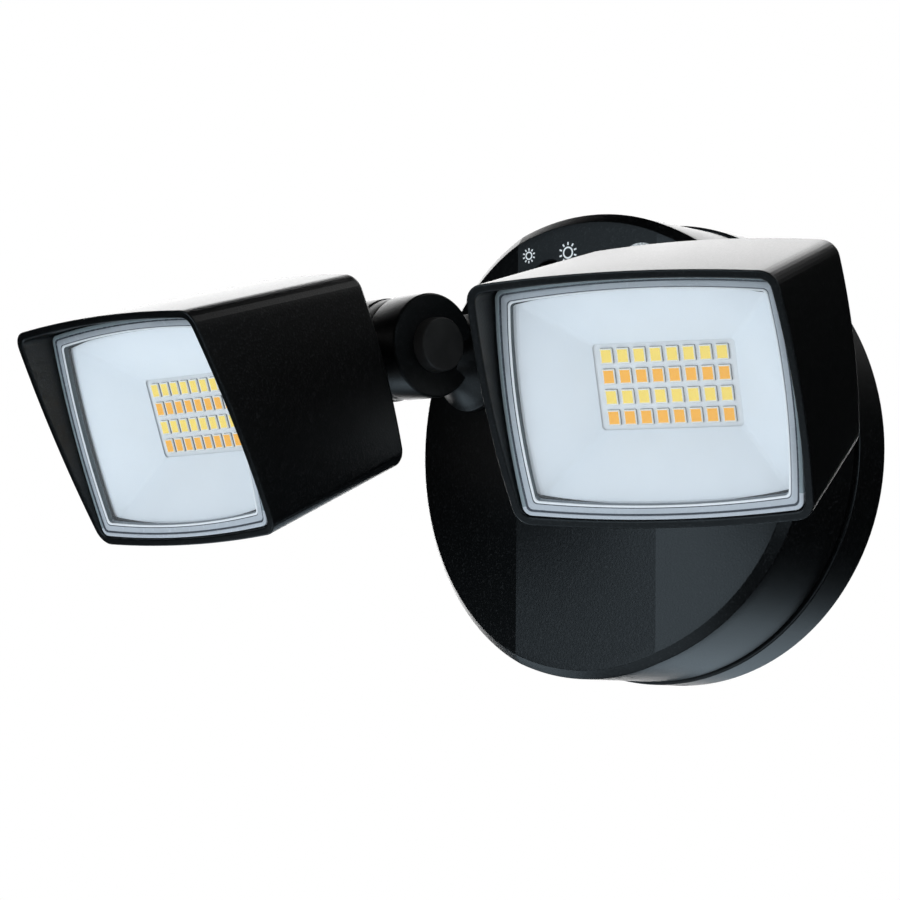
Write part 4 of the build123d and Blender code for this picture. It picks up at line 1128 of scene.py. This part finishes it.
def disc(radius, low, high, soft, around=128):
    """Turned disc with rounded rims."""
    return lathe([(0, low, 0), (radius, low, soft), (radius, high, soft), (0, high, 0)], around, steps=5)


# %% [markdown]
# The scoop is cut from the neck before the round end is fused on, so that no cut has to run along
# the flat side of the round end. The hollows follow last: the way for the wires through the shank,
# the bore for the tilt screw and the counterbore for its head.

# %% Arms
SHANK_RADIUS, SHANK_END, WIRE_WAY = 6.0 * MM, -12.7 * MM, 3.8 * MM
SCREW_BORE, COUNTERBORE = 3.06 * MM, 5.2 * MM
EDGE_SOFT = 0.75 * MM                       # rounding of the arm's and the lug's round ends

for name in sides:
    facet, knuckle = facet_place[name], knuckle_place[name]
    curve = flare(
        (COLLAR_RADIUS - 0.8 * MM, COLLAR_TOP),
        (NECK_RADIUS + 1.6 * MM, (COLLAR_TOP + NECK_TOP) / 2),
        (NECK_RADIUS, NECK_TOP),
    )
    corners = [(0, SHANK_END, 0), (SHANK_RADIUS, SHANK_END, 0.4 * MM), (SHANK_RADIUS, RUNNING, 0)]
    corners += [(COLLAR_RADIUS, RUNNING, 0.3 * MM), (COLLAR_RADIUS, COLLAR_TOP - 0.5 * MM, 0.4 * MM)]
    corners += [(x, y, 0) for x, y in curve] + [(0, NECK_TOP, 0)]
    collar = placed(lathe(corners, 128), facet)
    half = EYE_WIDTH / 2
    scoop = placed(rod(KNUCKLE_RADIUS + RUNNING, -half - 30 * MM, -half, 128), knuckle)
    round_end = placed(disc(KNUCKLE_RADIUS, -half, half, EDGE_SOFT), knuckle)
    wire_way = placed(rod(WIRE_WAY, -13.5 * MM, RUNNING, 48), facet)
    screw_bore = placed(rod(SCREW_BORE, -7 * MM, 7 * MM, 48), knuckle)
    counterbore = placed(rod(COUNTERBORE, half - 5.2 * MM, half + 1 * MM, 64), knuckle)
    arm = cut(fused(cut(collar, scoop), round_end), wire_way, screw_bore, counterbore)
    body, finish = f"{name}_arm", [black_paint]
    finish_piece(f"{name}_arm_casting", arm, body, finish, [f"{name}_arm"], radians(12))

# %% [markdown]
# A moulded cap hides the tilt screw's head. It tapers slightly so that it leaves its mould, and
# its rim is broken by a tight radius that draws a thin bright line. The friction ring between the
# arm and the head's lug is a plain turned washer with softened edges.

# %% Caps and friction rings
CAP_RADIUS, CAP_HEIGHT, CAP_PLUG, CAP_DRAFT = 6.9 * MM, 3.6 * MM, 2.0 * MM, 0.25 * MM
RING_RADIUS, RING_BORE, RING_WIDTH, RING_SOFT = 12.7 * MM, 4.0 * MM, 4.6 * MM, 0.4 * MM
MOULDED_CREASE = radians(20)

for name in sides:
    knuckle = knuckle_place[name]
    outer = EYE_WIDTH / 2
    cap_corners = [
        (0, outer - CAP_PLUG, 0),
        (COUNTERBORE, outer - CAP_PLUG, 0.3 * MM),
        (COUNTERBORE, outer, 0),
        (CAP_RADIUS, outer, 0.15 * MM),
        (CAP_RADIUS - CAP_DRAFT, outer + CAP_HEIGHT, 0.55 * MM),
        (0, outer + CAP_HEIGHT, 0),
    ]
    cap = placed(lathe(cap_corners, 96, steps=5), knuckle)
    body, finish, solids = f"{name}_arm", [black_plastic], [f"{name}_pivot_cap"]
    finish_piece(f"{name}_cap", cap, body, finish, solids, MOULDED_CREASE)
    inner_face = -EYE_WIDTH / 2 - RUNNING
    ring_corners = [
        (RING_BORE, inner_face, 0),
        (RING_RADIUS, inner_face, RING_SOFT),
        (RING_RADIUS, inner_face - RING_WIDTH, RING_SOFT),
        (RING_BORE, inner_face - RING_WIDTH, 0),
    ]
    ring = placed(lathe(ring_corners, 128, ends="joined"), knuckle)
    body, solids = f"{name}_head", [f"{name}_friction_ring"]
    finish_piece(f"{name}_ring", ring, body, finish, solids, MOULDED_CREASE)

# %% [markdown]
# ## Lamp heads
# A head is a cast box that widens towards the front. Its sides are slightly bowed, its corners are
# tight, and its rim lies in a plane that leans, so that the top overhangs like a hood. The
# outline is four large arcs and four small ones that touch them. It is worked out once, for any
# distance along the beam and any wall thickness, and the shell, lens and tray are all made from it.

# %% The head's outline
HALF_WIDTH, HALF_HEIGHT = 35.17 * MM, 28.22 * MM
WIDTH_DRAFT, HEIGHT_DRAFT = 0.094, 0.084    # how fast the head widens and grows towards the front
SIDE_BOW, TOP_BOW, CORNER, LEAST_CORNER = 1.55 * MM, 1.67 * MM, 4.5 * MM, 1.2 * MM
HEAD_BACK, RIM_TOP, RIM_BOTTOM = 35.5 * MM, 21.6 * MM, 12.6 * MM
SIDE_STEPS, CORNER_STEPS, TOP_STEPS = 14, 8, 18


def quarter_outline(half_width, half_height, corner):
    """Points from the middle of the right side, round one corner, to the middle of the top."""
    edge_x, edge_y = half_width - SIDE_BOW, half_height - TOP_BOW
    side_radius = (SIDE_BOW**2 + edge_y**2) / (2 * SIDE_BOW)
    top_radius = (TOP_BOW**2 + edge_x**2) / (2 * TOP_BOW)
    side_centre = Vector((half_width - side_radius, 0))
    top_centre = Vector((0, half_height - top_radius))
    reach_side, reach_top = side_radius - corner, top_radius - corner
    span = top_centre - side_centre
    along = (reach_side**2 - reach_top**2 + span.length_squared) / (2 * span.length)
    off = sqrt(reach_side**2 - along**2)
    unit = span.normalized()
    centre = side_centre + unit * along + Vector((-unit.y, unit.x)) * -off
    if centre.y < 0:
        centre = side_centre + unit * along + Vector((-unit.y, unit.x)) * off
    side_end = atan2(centre.y, centre.x - side_centre.x)
    top_end = atan2(centre.y - top_centre.y, centre.x)
    points = []
    for k in range(SIDE_STEPS):
        angle = side_end * k / SIDE_STEPS
        points.append(side_centre + side_radius * Vector((cos(angle), sin(angle))))
    for k in range(CORNER_STEPS):
        angle = side_end + (top_end - side_end) * k / CORNER_STEPS
        points.append(centre + corner * Vector((cos(angle), sin(angle))))
    for k in range(TOP_STEPS + 1):
        angle = top_end + (pi / 2 - top_end) * k / TOP_STEPS
        points.append(top_centre + top_radius * Vector((cos(angle), sin(angle))))
    return points


def full_outline(quarter):
    """The quarter mirrored into a closed outline, anticlockwise from the right side's middle."""
    top = quarter + [Vector((-p.x, p.y)) for p in quarter[-2::-1]]
    return top + [Vector((p.x, -p.y)) for p in top[-2:0:-1]]


def head_outline(forward, inset=0.0):
    half_width = HALF_WIDTH + WIDTH_DRAFT * forward - inset
    half_height = HALF_HEIGHT + HEIGHT_DRAFT * forward - inset
    return full_outline(quarter_outline(half_width, half_height, max(CORNER - inset, LEAST_CORNER)))


def head_ring(forward, inset=0.0):
    return [(p.x, p.y, forward) for p in head_outline(forward, inset)]


def rim_ring(below, inset=0.0):
    """Ring that lies that far behind the leaning plane of the rim."""
    lean = (RIM_TOP - RIM_BOTTOM) / (2 * HALF_HEIGHT)
    forward = [(RIM_TOP + RIM_BOTTOM) / 2] * len(head_outline(0))
    for _ in range(4):                      # the head widens as it goes, so each round comes closer
        ring = [head_outline(z, inset)[k] for k, z in enumerate(forward)]
        forward = [(RIM_TOP + RIM_BOTTOM) / 2 + lean * p.y - below for p in ring]
    return [(p.x, p.y, z) for p, z in zip(ring, forward)]


print("head outline:", len(head_outline(0)), "points")

# %% [markdown]
# The shell is one closed skin: the back with its rounded edge, the outside, the rim with its two
# softened edges, the step that seats the lens, and the hollow behind it. The lug is a separate
# block and disc, fused on, and then bored for the tilt screw and its nut.

# %% The head's shell
RIM_WALL, SEAT_WALL, BACK_WALL, BACK_EDGE = 1.85 * MM, 3.8 * MM, 3.0 * MM, 2.8 * MM
LENS_FRONT, LENS_THICKNESS, GASKET = 13.0 * MM, 2.2 * MM, 0.6 * MM
SEAT = LENS_FRONT - LENS_THICKNESS - GASKET
RIM_SOFT = 0.4 * MM
BACK_STEPS, RIM_STEPS = 6, 4                # steps round the back's edge and round the rim's edges
LUG_WIDTH, LUG_HEIGHT, LUG_CORNER = 13.0 * MM, 20.0 * MM, 4.0 * MM


def block_ring(width, height, corner, forward):
    """Rounded rectangle with as many points as any other of its kind."""
    corners = []
    for x, y in ((1, -1), (1, 1), (-1, 1), (-1, -1)):
        corners.append((x * width / 2, y * height / 2, corner))
    return [(p.x, p.y, forward) for p in rounded(corners, 6)]


def head_shell():
    rings = []
    for k in range(BACK_STEPS + 1):
        angle = pi / 2 * k / BACK_STEPS
        rings.append(head_ring(-HEAD_BACK + BACK_EDGE * (1 - cos(angle)), BACK_EDGE * (1 - sin(angle))))
    rings.append(rim_ring(RIM_SOFT * 3))
    for k in range(RIM_STEPS + 1):
        angle = pi / 2 * k / RIM_STEPS
        rings.append(rim_ring(RIM_SOFT * (1 - sin(angle)), RIM_SOFT * (1 - cos(angle))))
    for k in range(RIM_STEPS + 1):
        angle = pi / 2 * k / RIM_STEPS
        inner = RIM_WALL - RIM_SOFT * (1 - sin(angle))
        rings.append(rim_ring(RIM_SOFT * (1 - cos(angle)), inner))
    rings.append(head_ring(SEAT, RIM_WALL))
    rings.append(head_ring(SEAT, SEAT_WALL))
    rings.append(head_ring(BACK_WALL - HEAD_BACK, SEAT_WALL))
    return skin(rings)


# %% [markdown]
# The lug spreads into a wider foot where it meets the back, as a casting does to carry the load.
# Inside, four bosses take the screws of the heat sink, and a hexagonal pocket keeps the tilt
# screw's nut from turning.

# %% Lugs, bosses and bores
BOSS_GRID = [(x * MM, y * MM) for x in (-20.5, 20.5) for y in (-12, 12)]
BOSS_RADIUS, BOSS_PILOT, PILOT_DEPTH = 3.25 * MM, 1.55 * MM, 9 * MM
SINK_BACK = -4.6 * MM                       # back of the heat sink's base, where the bosses end
FOOT_WIDTH, FOOT_HEIGHT = 20 * MM, 22 * MM
NUT_POCKET, POCKET_DEPTH = 5.87 * MM, 4 * MM
OVERLAP = 1 * MM                            # how far a tool reaches past the face that it meets
HEXAGON = [radians(60 * k) for k in range(6)]

for name in sides:
    head = head_place[name]
    to_head = head.inverted() @ knuckle_place[name]
    lug_foot = KNUCKLE_RADIUS + RUNNING - HEAD_REACH
    lug = skin(
        [
            block_ring(FOOT_WIDTH, FOOT_HEIGHT, LUG_CORNER, OVERLAP - HEAD_BACK),
            block_ring(LUG_WIDTH, LUG_HEIGHT, LUG_CORNER, lug_foot),
            block_ring(LUG_WIDTH, LUG_HEIGHT, LUG_CORNER, lug_foot - KNUCKLE_RADIUS),
        ]
    )
    lug_high = -EYE_WIDTH / 2 - RUNNING - RING_WIDTH
    lug_low = lug_high - LUG_WIDTH
    lug_disc = placed(disc(KNUCKLE_RADIUS, lug_low, lug_high, EDGE_SOFT), to_head)
    bosses, drills = [], []
    for x, y in BOSS_GRID:
        spot = Matrix.Translation((x, y, 0))
        boss = rod(BOSS_RADIUS, BACK_WALL - HEAD_BACK - OVERLAP, SINK_BACK, 40)
        drill = rod(BOSS_PILOT, SINK_BACK - PILOT_DEPTH, SINK_BACK + OVERLAP, 24)
        bosses.append(placed(boss, spot))
        drills.append(placed(drill, spot))
    corners = [(NUT_POCKET * cos(angle), NUT_POCKET * sin(angle)) for angle in HEXAGON]
    pocket = placed(prism(corners, lug_low - OVERLAP, lug_low + POCKET_DEPTH), to_head)
    bore = placed(rod(SCREW_BORE, lug_low - OVERLAP, lug_high + OVERLAP, 48), to_head)
    head_mesh = cut(fused(head_shell(), lug, lug_disc, *bosses), pocket, bore, *drills)
    placed(head_mesh, head)
    body, finish, solids = f"{name}_head", [black_paint], [f"{name}_head_housing"]
    finish_piece(f"{name}_head_shell", head_mesh, body, finish, solids)

# %% [markdown]
# ## Lenses
# The lens is a clear pane with a raised, stepped rim. From the outside inwards the rim is a thick
# bluish grey edge, a dark groove, a pale band, a second groove and a thin white line. Each is a
# strip of faces in its own material slot. The grooves are painted dark for the black seat seen
# through them, the white line is a painted highlight, and along the bottom the edge is painted
# paler, as painted light that it catches there. The whole rim is therefore one list of heights and
# insets, which takes less room than modelling how light runs inside the plastic.

# %% Lenses
LENS_GAP = 0.3 * MM
LENS_INSET = RIM_WALL + LENS_GAP
BACK_INSET = 3.3 * MM                       # from the lens's edge in to its pane, at the back
EDGE, PANE, STEP, GROOVE, BAND = range(5)   # material slots of the lens
# height from the pane's front, distance in from the edge, and what the strip from here inwards is
LENS_STEPS = [
    (-1.60, 2.70, EDGE), (-1.70, 0.15, EDGE), (-1.55, 0.00, EDGE), (0.05, 0.00, EDGE), (0.37, 0.13, EDGE),
    (0.50, 0.35, EDGE), (0.50, 0.86, EDGE), (0.40, 0.96, GROOVE), (0.22, 1.04, GROOVE), (0.22, 1.36, BAND),
    (0.26, 1.42, BAND), (0.26, 2.56, GROOVE), (0.12, 2.70, STEP), (0.26, 2.78, STEP), (0.26, 3.08, STEP),
    (0.00, 3.18, PANE), (-0.05, 3.26, PANE),
]
PANE_BACK, PANE_FRONT = LENS_FRONT - LENS_THICKNESS + 0.6 * MM, LENS_FRONT - 0.5 * MM


def lens_mesh():
    bm = bmesh.new()
    rings = [head_ring(PANE_BACK, LENS_INSET + BACK_INSET)]
    rings += [head_ring(PANE_FRONT + height * MM, LENS_INSET + inset * MM) for height, inset, _ in LENS_STEPS]
    loops = [[bm.verts.new(point) for point in ring] for ring in rings]
    kinds = [EDGE] + [kind for *_, kind in LENS_STEPS]
    count = len(loops[0])
    for kind, lower, upper in zip(kinds, loops, loops[1:]):
        for k in range(count):
            face = bm.faces.new([lower[k], lower[(k + 1) % count], upper[(k + 1) % count], upper[k]])
            painted_pale_low_side = upper[k].co.y < -HALF_HEIGHT * 0.8   # painted paler along the bottom: painted light that the lower edge catches
            face.material_index = BAND if kind == EDGE and painted_pale_low_side else kind
    for loop in (loops[0], loops[-1]):
        bm.faces.new(loop).material_index = PANE
    return mesh_from(bm)


for name in sides:
    lens = placed(lens_mesh(), head_place[name])
    clears = [lens_edge, lens_clear, lens_highlight, lens_groove_painted_dark, lens_band]
    finish_piece(f"{name}_pane", lens, f"{name}_head", clears, [f"{name}_lens"], radians(35))

# %% [markdown]
# ## White trays
# Behind the lens a white tray slopes from the rim down to a small window over the LEDs. It is a
# thin moulding: the front skin and the back skin are the same rings, a wall's thickness apart.

# %% Trays
TRAY_OUTER, TRAY_FLANGE, TRAY_WALL = SEAT_WALL + 0.1 * MM, 1.7 * MM, 1.2 * MM
TRAY_TOP, TRAY_FOOT = SEAT - 0.3 * MM, 0.45 * MM
WINDOW_WIDTH, WINDOW_HEIGHT, WINDOW_CORNER = 33.4 * MM, 19.6 * MM, 1.0 * MM


def window_ring(forward, grow=0.0):
    """Window with its points spread as on the head's outline, so that both join without a twist."""
    half_width, half_height = WINDOW_WIDTH / 2 + grow, WINDOW_HEIGHT / 2 + grow
    corner = WINDOW_CORNER + grow
    straight_x, straight_y = half_width - corner, half_height - corner
    points = [Vector((half_width, straight_y * k / SIDE_STEPS)) for k in range(SIDE_STEPS)]
    for k in range(CORNER_STEPS):
        angle = pi / 2 * k / CORNER_STEPS
        points.append(Vector((straight_x + corner * cos(angle), straight_y + corner * sin(angle))))
    points += [Vector((straight_x * (1 - k / TOP_STEPS), half_height)) for k in range(TOP_STEPS + 1)]
    return [(p.x, p.y, forward) for p in full_outline(points)]


for name in sides:
    soft = 0.25 * MM
    tray = skin(
        [
            head_ring(TRAY_TOP, TRAY_OUTER),
            head_ring(TRAY_TOP, TRAY_OUTER + TRAY_FLANGE - soft),
            head_ring(TRAY_TOP - soft, TRAY_OUTER + TRAY_FLANGE + soft),
            window_ring(TRAY_FOOT + soft, soft),
            window_ring(TRAY_FOOT + 0.05 * MM),
            window_ring(TRAY_FOOT),
            window_ring(TRAY_FOOT, TRAY_WALL),
            head_ring(TRAY_TOP - TRAY_WALL, TRAY_OUTER + TRAY_FLANGE - TRAY_WALL),
            head_ring(TRAY_TOP - TRAY_WALL, TRAY_OUTER),
        ],
        ends="joined",
    )
    placed(tray, head_place[name])
    body, finish, solids = f"{name}_head", [reflector_white], [f"{name}_reflector"]
    finish_piece(f"{name}_tray", tray, body, finish, solids)

# %% [markdown]
# ## LEDs
# The board carries four rows of eight packages, warm white and cool white in turn. A package is a
# small white cup filled with phosphor. Its foot and the lowest part of its sides are dark: solder
# pads, and painted shadow round the package. One cup of each kind is made by hand as a stack of
# rounded rectangles, and a number on each face says which finish it will get.

# %% One LED of each kind
LED_HEIGHT = 0.7 * MM
FILL_WIDTH, FILL_LENGTH = 2.36 * MM, 2.86 * MM
PACKAGE_WIDTH, PACKAGE_LENGTH = 2.88 * MM, 3.42 * MM
PAD = 0.05 * MM                             # solder that shows round the package's foot, dark also as painted shadow
LIP = 0.08 * MM                             # softened upper edge, and depth of the filling
CUP_FACE, COOL_FACE, WARM_FACE, PAD_SHADOW_FACE = range(4)


def led_package(name, fill):
    """Package whose faces carry their number, with `fill` on the phosphor."""
    wide, long = PACKAGE_WIDTH, PACKAGE_LENGTH
    rings = [
        block_ring(wide + 2 * PAD, long + 2 * PAD, 0.18 * MM, 0),
        block_ring(wide + 2 * PAD, long + 2 * PAD, 0.18 * MM, PAD),
        block_ring(wide, long, 0.18 * MM, 0.3 * MM),
        block_ring(wide, long, 0.18 * MM, LED_HEIGHT - LIP),
        block_ring(wide - 2 * LIP, long - 2 * LIP, 0.14 * MM, LED_HEIGHT),
        block_ring(FILL_WIDTH + 0.28 * MM, FILL_LENGTH + 0.28 * MM, 0.45 * MM, LED_HEIGHT),
        block_ring(FILL_WIDTH, FILL_LENGTH, 0.4 * MM, LED_HEIGHT - LIP),
        block_ring(FILL_WIDTH * 0.6, FILL_LENGTH * 0.6, 0.25 * MM, LED_HEIGHT - 0.07 * MM),
    ]
    mesh = skin(rings)
    kind = mesh.attributes.new("kind", "INT", "FACE")
    for polygon in mesh.polygons:
        middle = polygon.center
        number = CUP_FACE
        # the foot and the lowest sides get the dark finish: solder pads and painted shadow
        if middle.z < 0.25 * MM:
            number = PAD_SHADOW_FACE
        if middle.z > LED_HEIGHT / 2 and abs(middle.x) < FILL_WIDTH / 2 and abs(middle.y) < FILL_LENGTH / 2:
            number = fill
        kind.data[polygon.index].value = number
    unit = bpy.data.objects.new(name, mesh)
    bpy.context.scene.collection.objects.link(unit)
    return unit


# %% [markdown]
# A Geometry Nodes tree sets the packages out. It lays a grid of points, picks the kind by whether
# the row's number is odd, and realizes the instances. Four Set Material nodes at its end then turn
# the numbers on the faces into finishes.

# %% The LED tree
led_tree, start, end = new_tree(
    "led_grid",
    {
        "Columns": ("NodeSocketInt", 8),
        "Rows": ("NodeSocketInt", 4),
        "Width": ("NodeSocketFloat", 27 * MM),
        "Height": ("NodeSocketFloat", 14 * MM),
        "Cool LED": ("NodeSocketObject", None),
        "Warm LED": ("NodeSocketObject", None),
        "Cup": ("NodeSocketMaterial", None),
        "Cool Fill": ("NodeSocketMaterial", None),
        "Warm Fill": ("NodeSocketMaterial", None),
        "Side": ("NodeSocketMaterial", None),
    },
)
grid = add_node(led_tree, "GeometryNodeMeshGrid")
stand = add_node(led_tree, "GeometryNodeInstanceOnPoints")
number = add_node(led_tree, "GeometryNodeInputIndex")
row = math_node(led_tree, "MODULO", number.outputs["Index"], start.outputs["Rows"])
parity = math_node(led_tree, "MODULO", row, 2.0)
warm_row = add_node(led_tree, "FunctionNodeCompare", data_type="FLOAT", operation="LESS_THAN")
warm_row.inputs["B"].default_value = 0.5
cool_stand = add_node(led_tree, "GeometryNodeInstanceOnPoints")
cool_row = add_node(led_tree, "FunctionNodeBooleanMath", operation="NOT")
units = [add_node(led_tree, "GeometryNodeObjectInfo") for _ in range(2)]
union = add_node(led_tree, "GeometryNodeJoinGeometry")
real = add_node(led_tree, "GeometryNodeRealizeInstances")
kind = add_node(led_tree, "GeometryNodeInputNamedAttribute", data_type="INT")
kind.inputs["Name"].default_value = "kind"
chain(
    led_tree,
    start.outputs["Columns"], grid.inputs["Vertices X"],
    start.outputs["Rows"], grid.inputs["Vertices Y"],
    start.outputs["Width"], grid.inputs["Size X"],
    start.outputs["Height"], grid.inputs["Size Y"],
    parity, warm_row.inputs["A"],
    warm_row.outputs["Result"], cool_row.inputs[0],
    start.outputs["Cool LED"], units[0].inputs["Object"],
    start.outputs["Warm LED"], units[1].inputs["Object"],
    grid.outputs["Mesh"], cool_stand.inputs["Points"],
    cool_row.outputs[0], cool_stand.inputs["Selection"],
    units[0].outputs["Geometry"], cool_stand.inputs["Instance"],
    grid.outputs["Mesh"], stand.inputs["Points"],
    warm_row.outputs["Result"], stand.inputs["Selection"],
    units[1].outputs["Geometry"], stand.inputs["Instance"],
    cool_stand.outputs["Instances"], union.inputs["Geometry"],
    stand.outputs["Instances"], union.inputs["Geometry"],
    union.outputs["Geometry"], real.inputs["Geometry"],
)
last = real.outputs["Geometry"]
face_finishes = {CUP_FACE: "Cup", COOL_FACE: "Cool Fill", WARM_FACE: "Warm Fill", PAD_SHADOW_FACE: "Side"}
for value, label in face_finishes.items():
    chosen = add_node(led_tree, "FunctionNodeCompare", data_type="INT", operation="EQUAL")
    paint = add_node(led_tree, "GeometryNodeSetMaterial")
    integer_inputs = [s for s in chosen.inputs if s.type == "INT"]
    integer_inputs[1].default_value = value
    chain(
        led_tree,
        kind.outputs["Attribute"], integer_inputs[0],
        chosen.outputs["Result"], paint.inputs["Selection"],
        last, paint.inputs["Geometry"],
        start.outputs[label], paint.inputs["Material"],
    )
    last = paint.outputs["Geometry"]
led_tree.links.new(last, end.inputs["Geometry"])
print(led_tree.name, "has", len(led_tree.nodes), "nodes")

# %% [markdown]
# The tree runs once for each head, and its plain mesh is set on the board. The two packages made by
# hand are only patterns, so they are put away afterwards.

# %% LED grids on both boards
LED_COLUMNS, LED_ROWS = 8, 4
LED_ACROSS, LED_UP = 3.88 * MM, 4.66 * MM
cool_led, warm_led = led_package("cool_led", COOL_FACE), led_package("warm_led", WARM_FACE)
led_settings = {
    "Columns": LED_COLUMNS,
    "Rows": LED_ROWS,
    "Width": (LED_COLUMNS - 1) * LED_ACROSS,
    "Height": (LED_ROWS - 1) * LED_UP,
    "Cool LED": cool_led,
    "Warm LED": warm_led,
    "Cup": package_white,
    "Cool Fill": cool_phosphor,
    "Warm Fill": warm_phosphor,
    "Side": pad_and_shadow_dark,
}
for name in sides:
    leds = run_tree(led_tree, led_settings)
    placed(leds, head_place[name])
    body, solids = f"{name}_head", [f"{name}_leds"]
    finish_piece(f"{name}_led_grid", leds, body, [], solids, radians(40))
for unit in (cool_led, warm_led):
    bpy.data.objects.remove(unit)

# %% [markdown]
# ## The rest of the frame
# Bars, screws, boards and seals keep the shape that the frame gives them. They only need their
# finishes.

# %% Finishes on the frame's own solids
dress(zinc, "mounting_bar", "canopy_lock_screws", "drum_screws", "board_screws")
dress(earth_green, "earth_screw")
dress(foam, "wall_gasket")
dress(black_rubber, "wire_grommet", "drum_seal")
dress(board_green, "control_board", "driver_board")
dress(nickel, "sensor_element")
dress(black_case, "potentiometers", "driver_transformer", "driver_capacitors")
for name in sides:
    dress(zinc, f"{name}_arm_nut", f"{name}_arm_washer", f"{name}_pivot_screw", f"{name}_pivot_nut")
    dress(zinc, f"{name}_head_screws")
    dress(black_rubber, f"{name}_lens_gasket")
    dress(board_white, f"{name}_led_board")
    dress(aluminium, f"{name}_heat_sink")

# %% [markdown]
# ## Floor
# A plain pale sheet, well below the light, which only other views see.

# %% Floor
FLOOR_DROP, FLOOR_HALF = 0.30, 1.1


def floor_sheet():
    material = new_finish("pale_paper", specular=0.2)
    tint(material, grain(material, 50 * MM), (0.78, 0.78, 0.78), (0.82, 0.82, 0.82))
    gloss(material, grain(material, 10 * MM), 0.7, 0.85)
    bm = bmesh.new()
    bmesh.ops.create_grid(bm, x_segments=8, y_segments=8, size=FLOOR_HALF)
    mesh = bpy.data.meshes.new("floor")
    bm.to_mesh(mesh)
    bm.free()
    mesh.materials.append(material)
    floor = bpy.data.objects.new("floor", mesh)
    floor.location = (0, 0, -FLOOR_DROP)
    floor.visible_glossy = False
    bpy.context.scene.collection.objects.link(floor)
    return floor


floor_sheet()
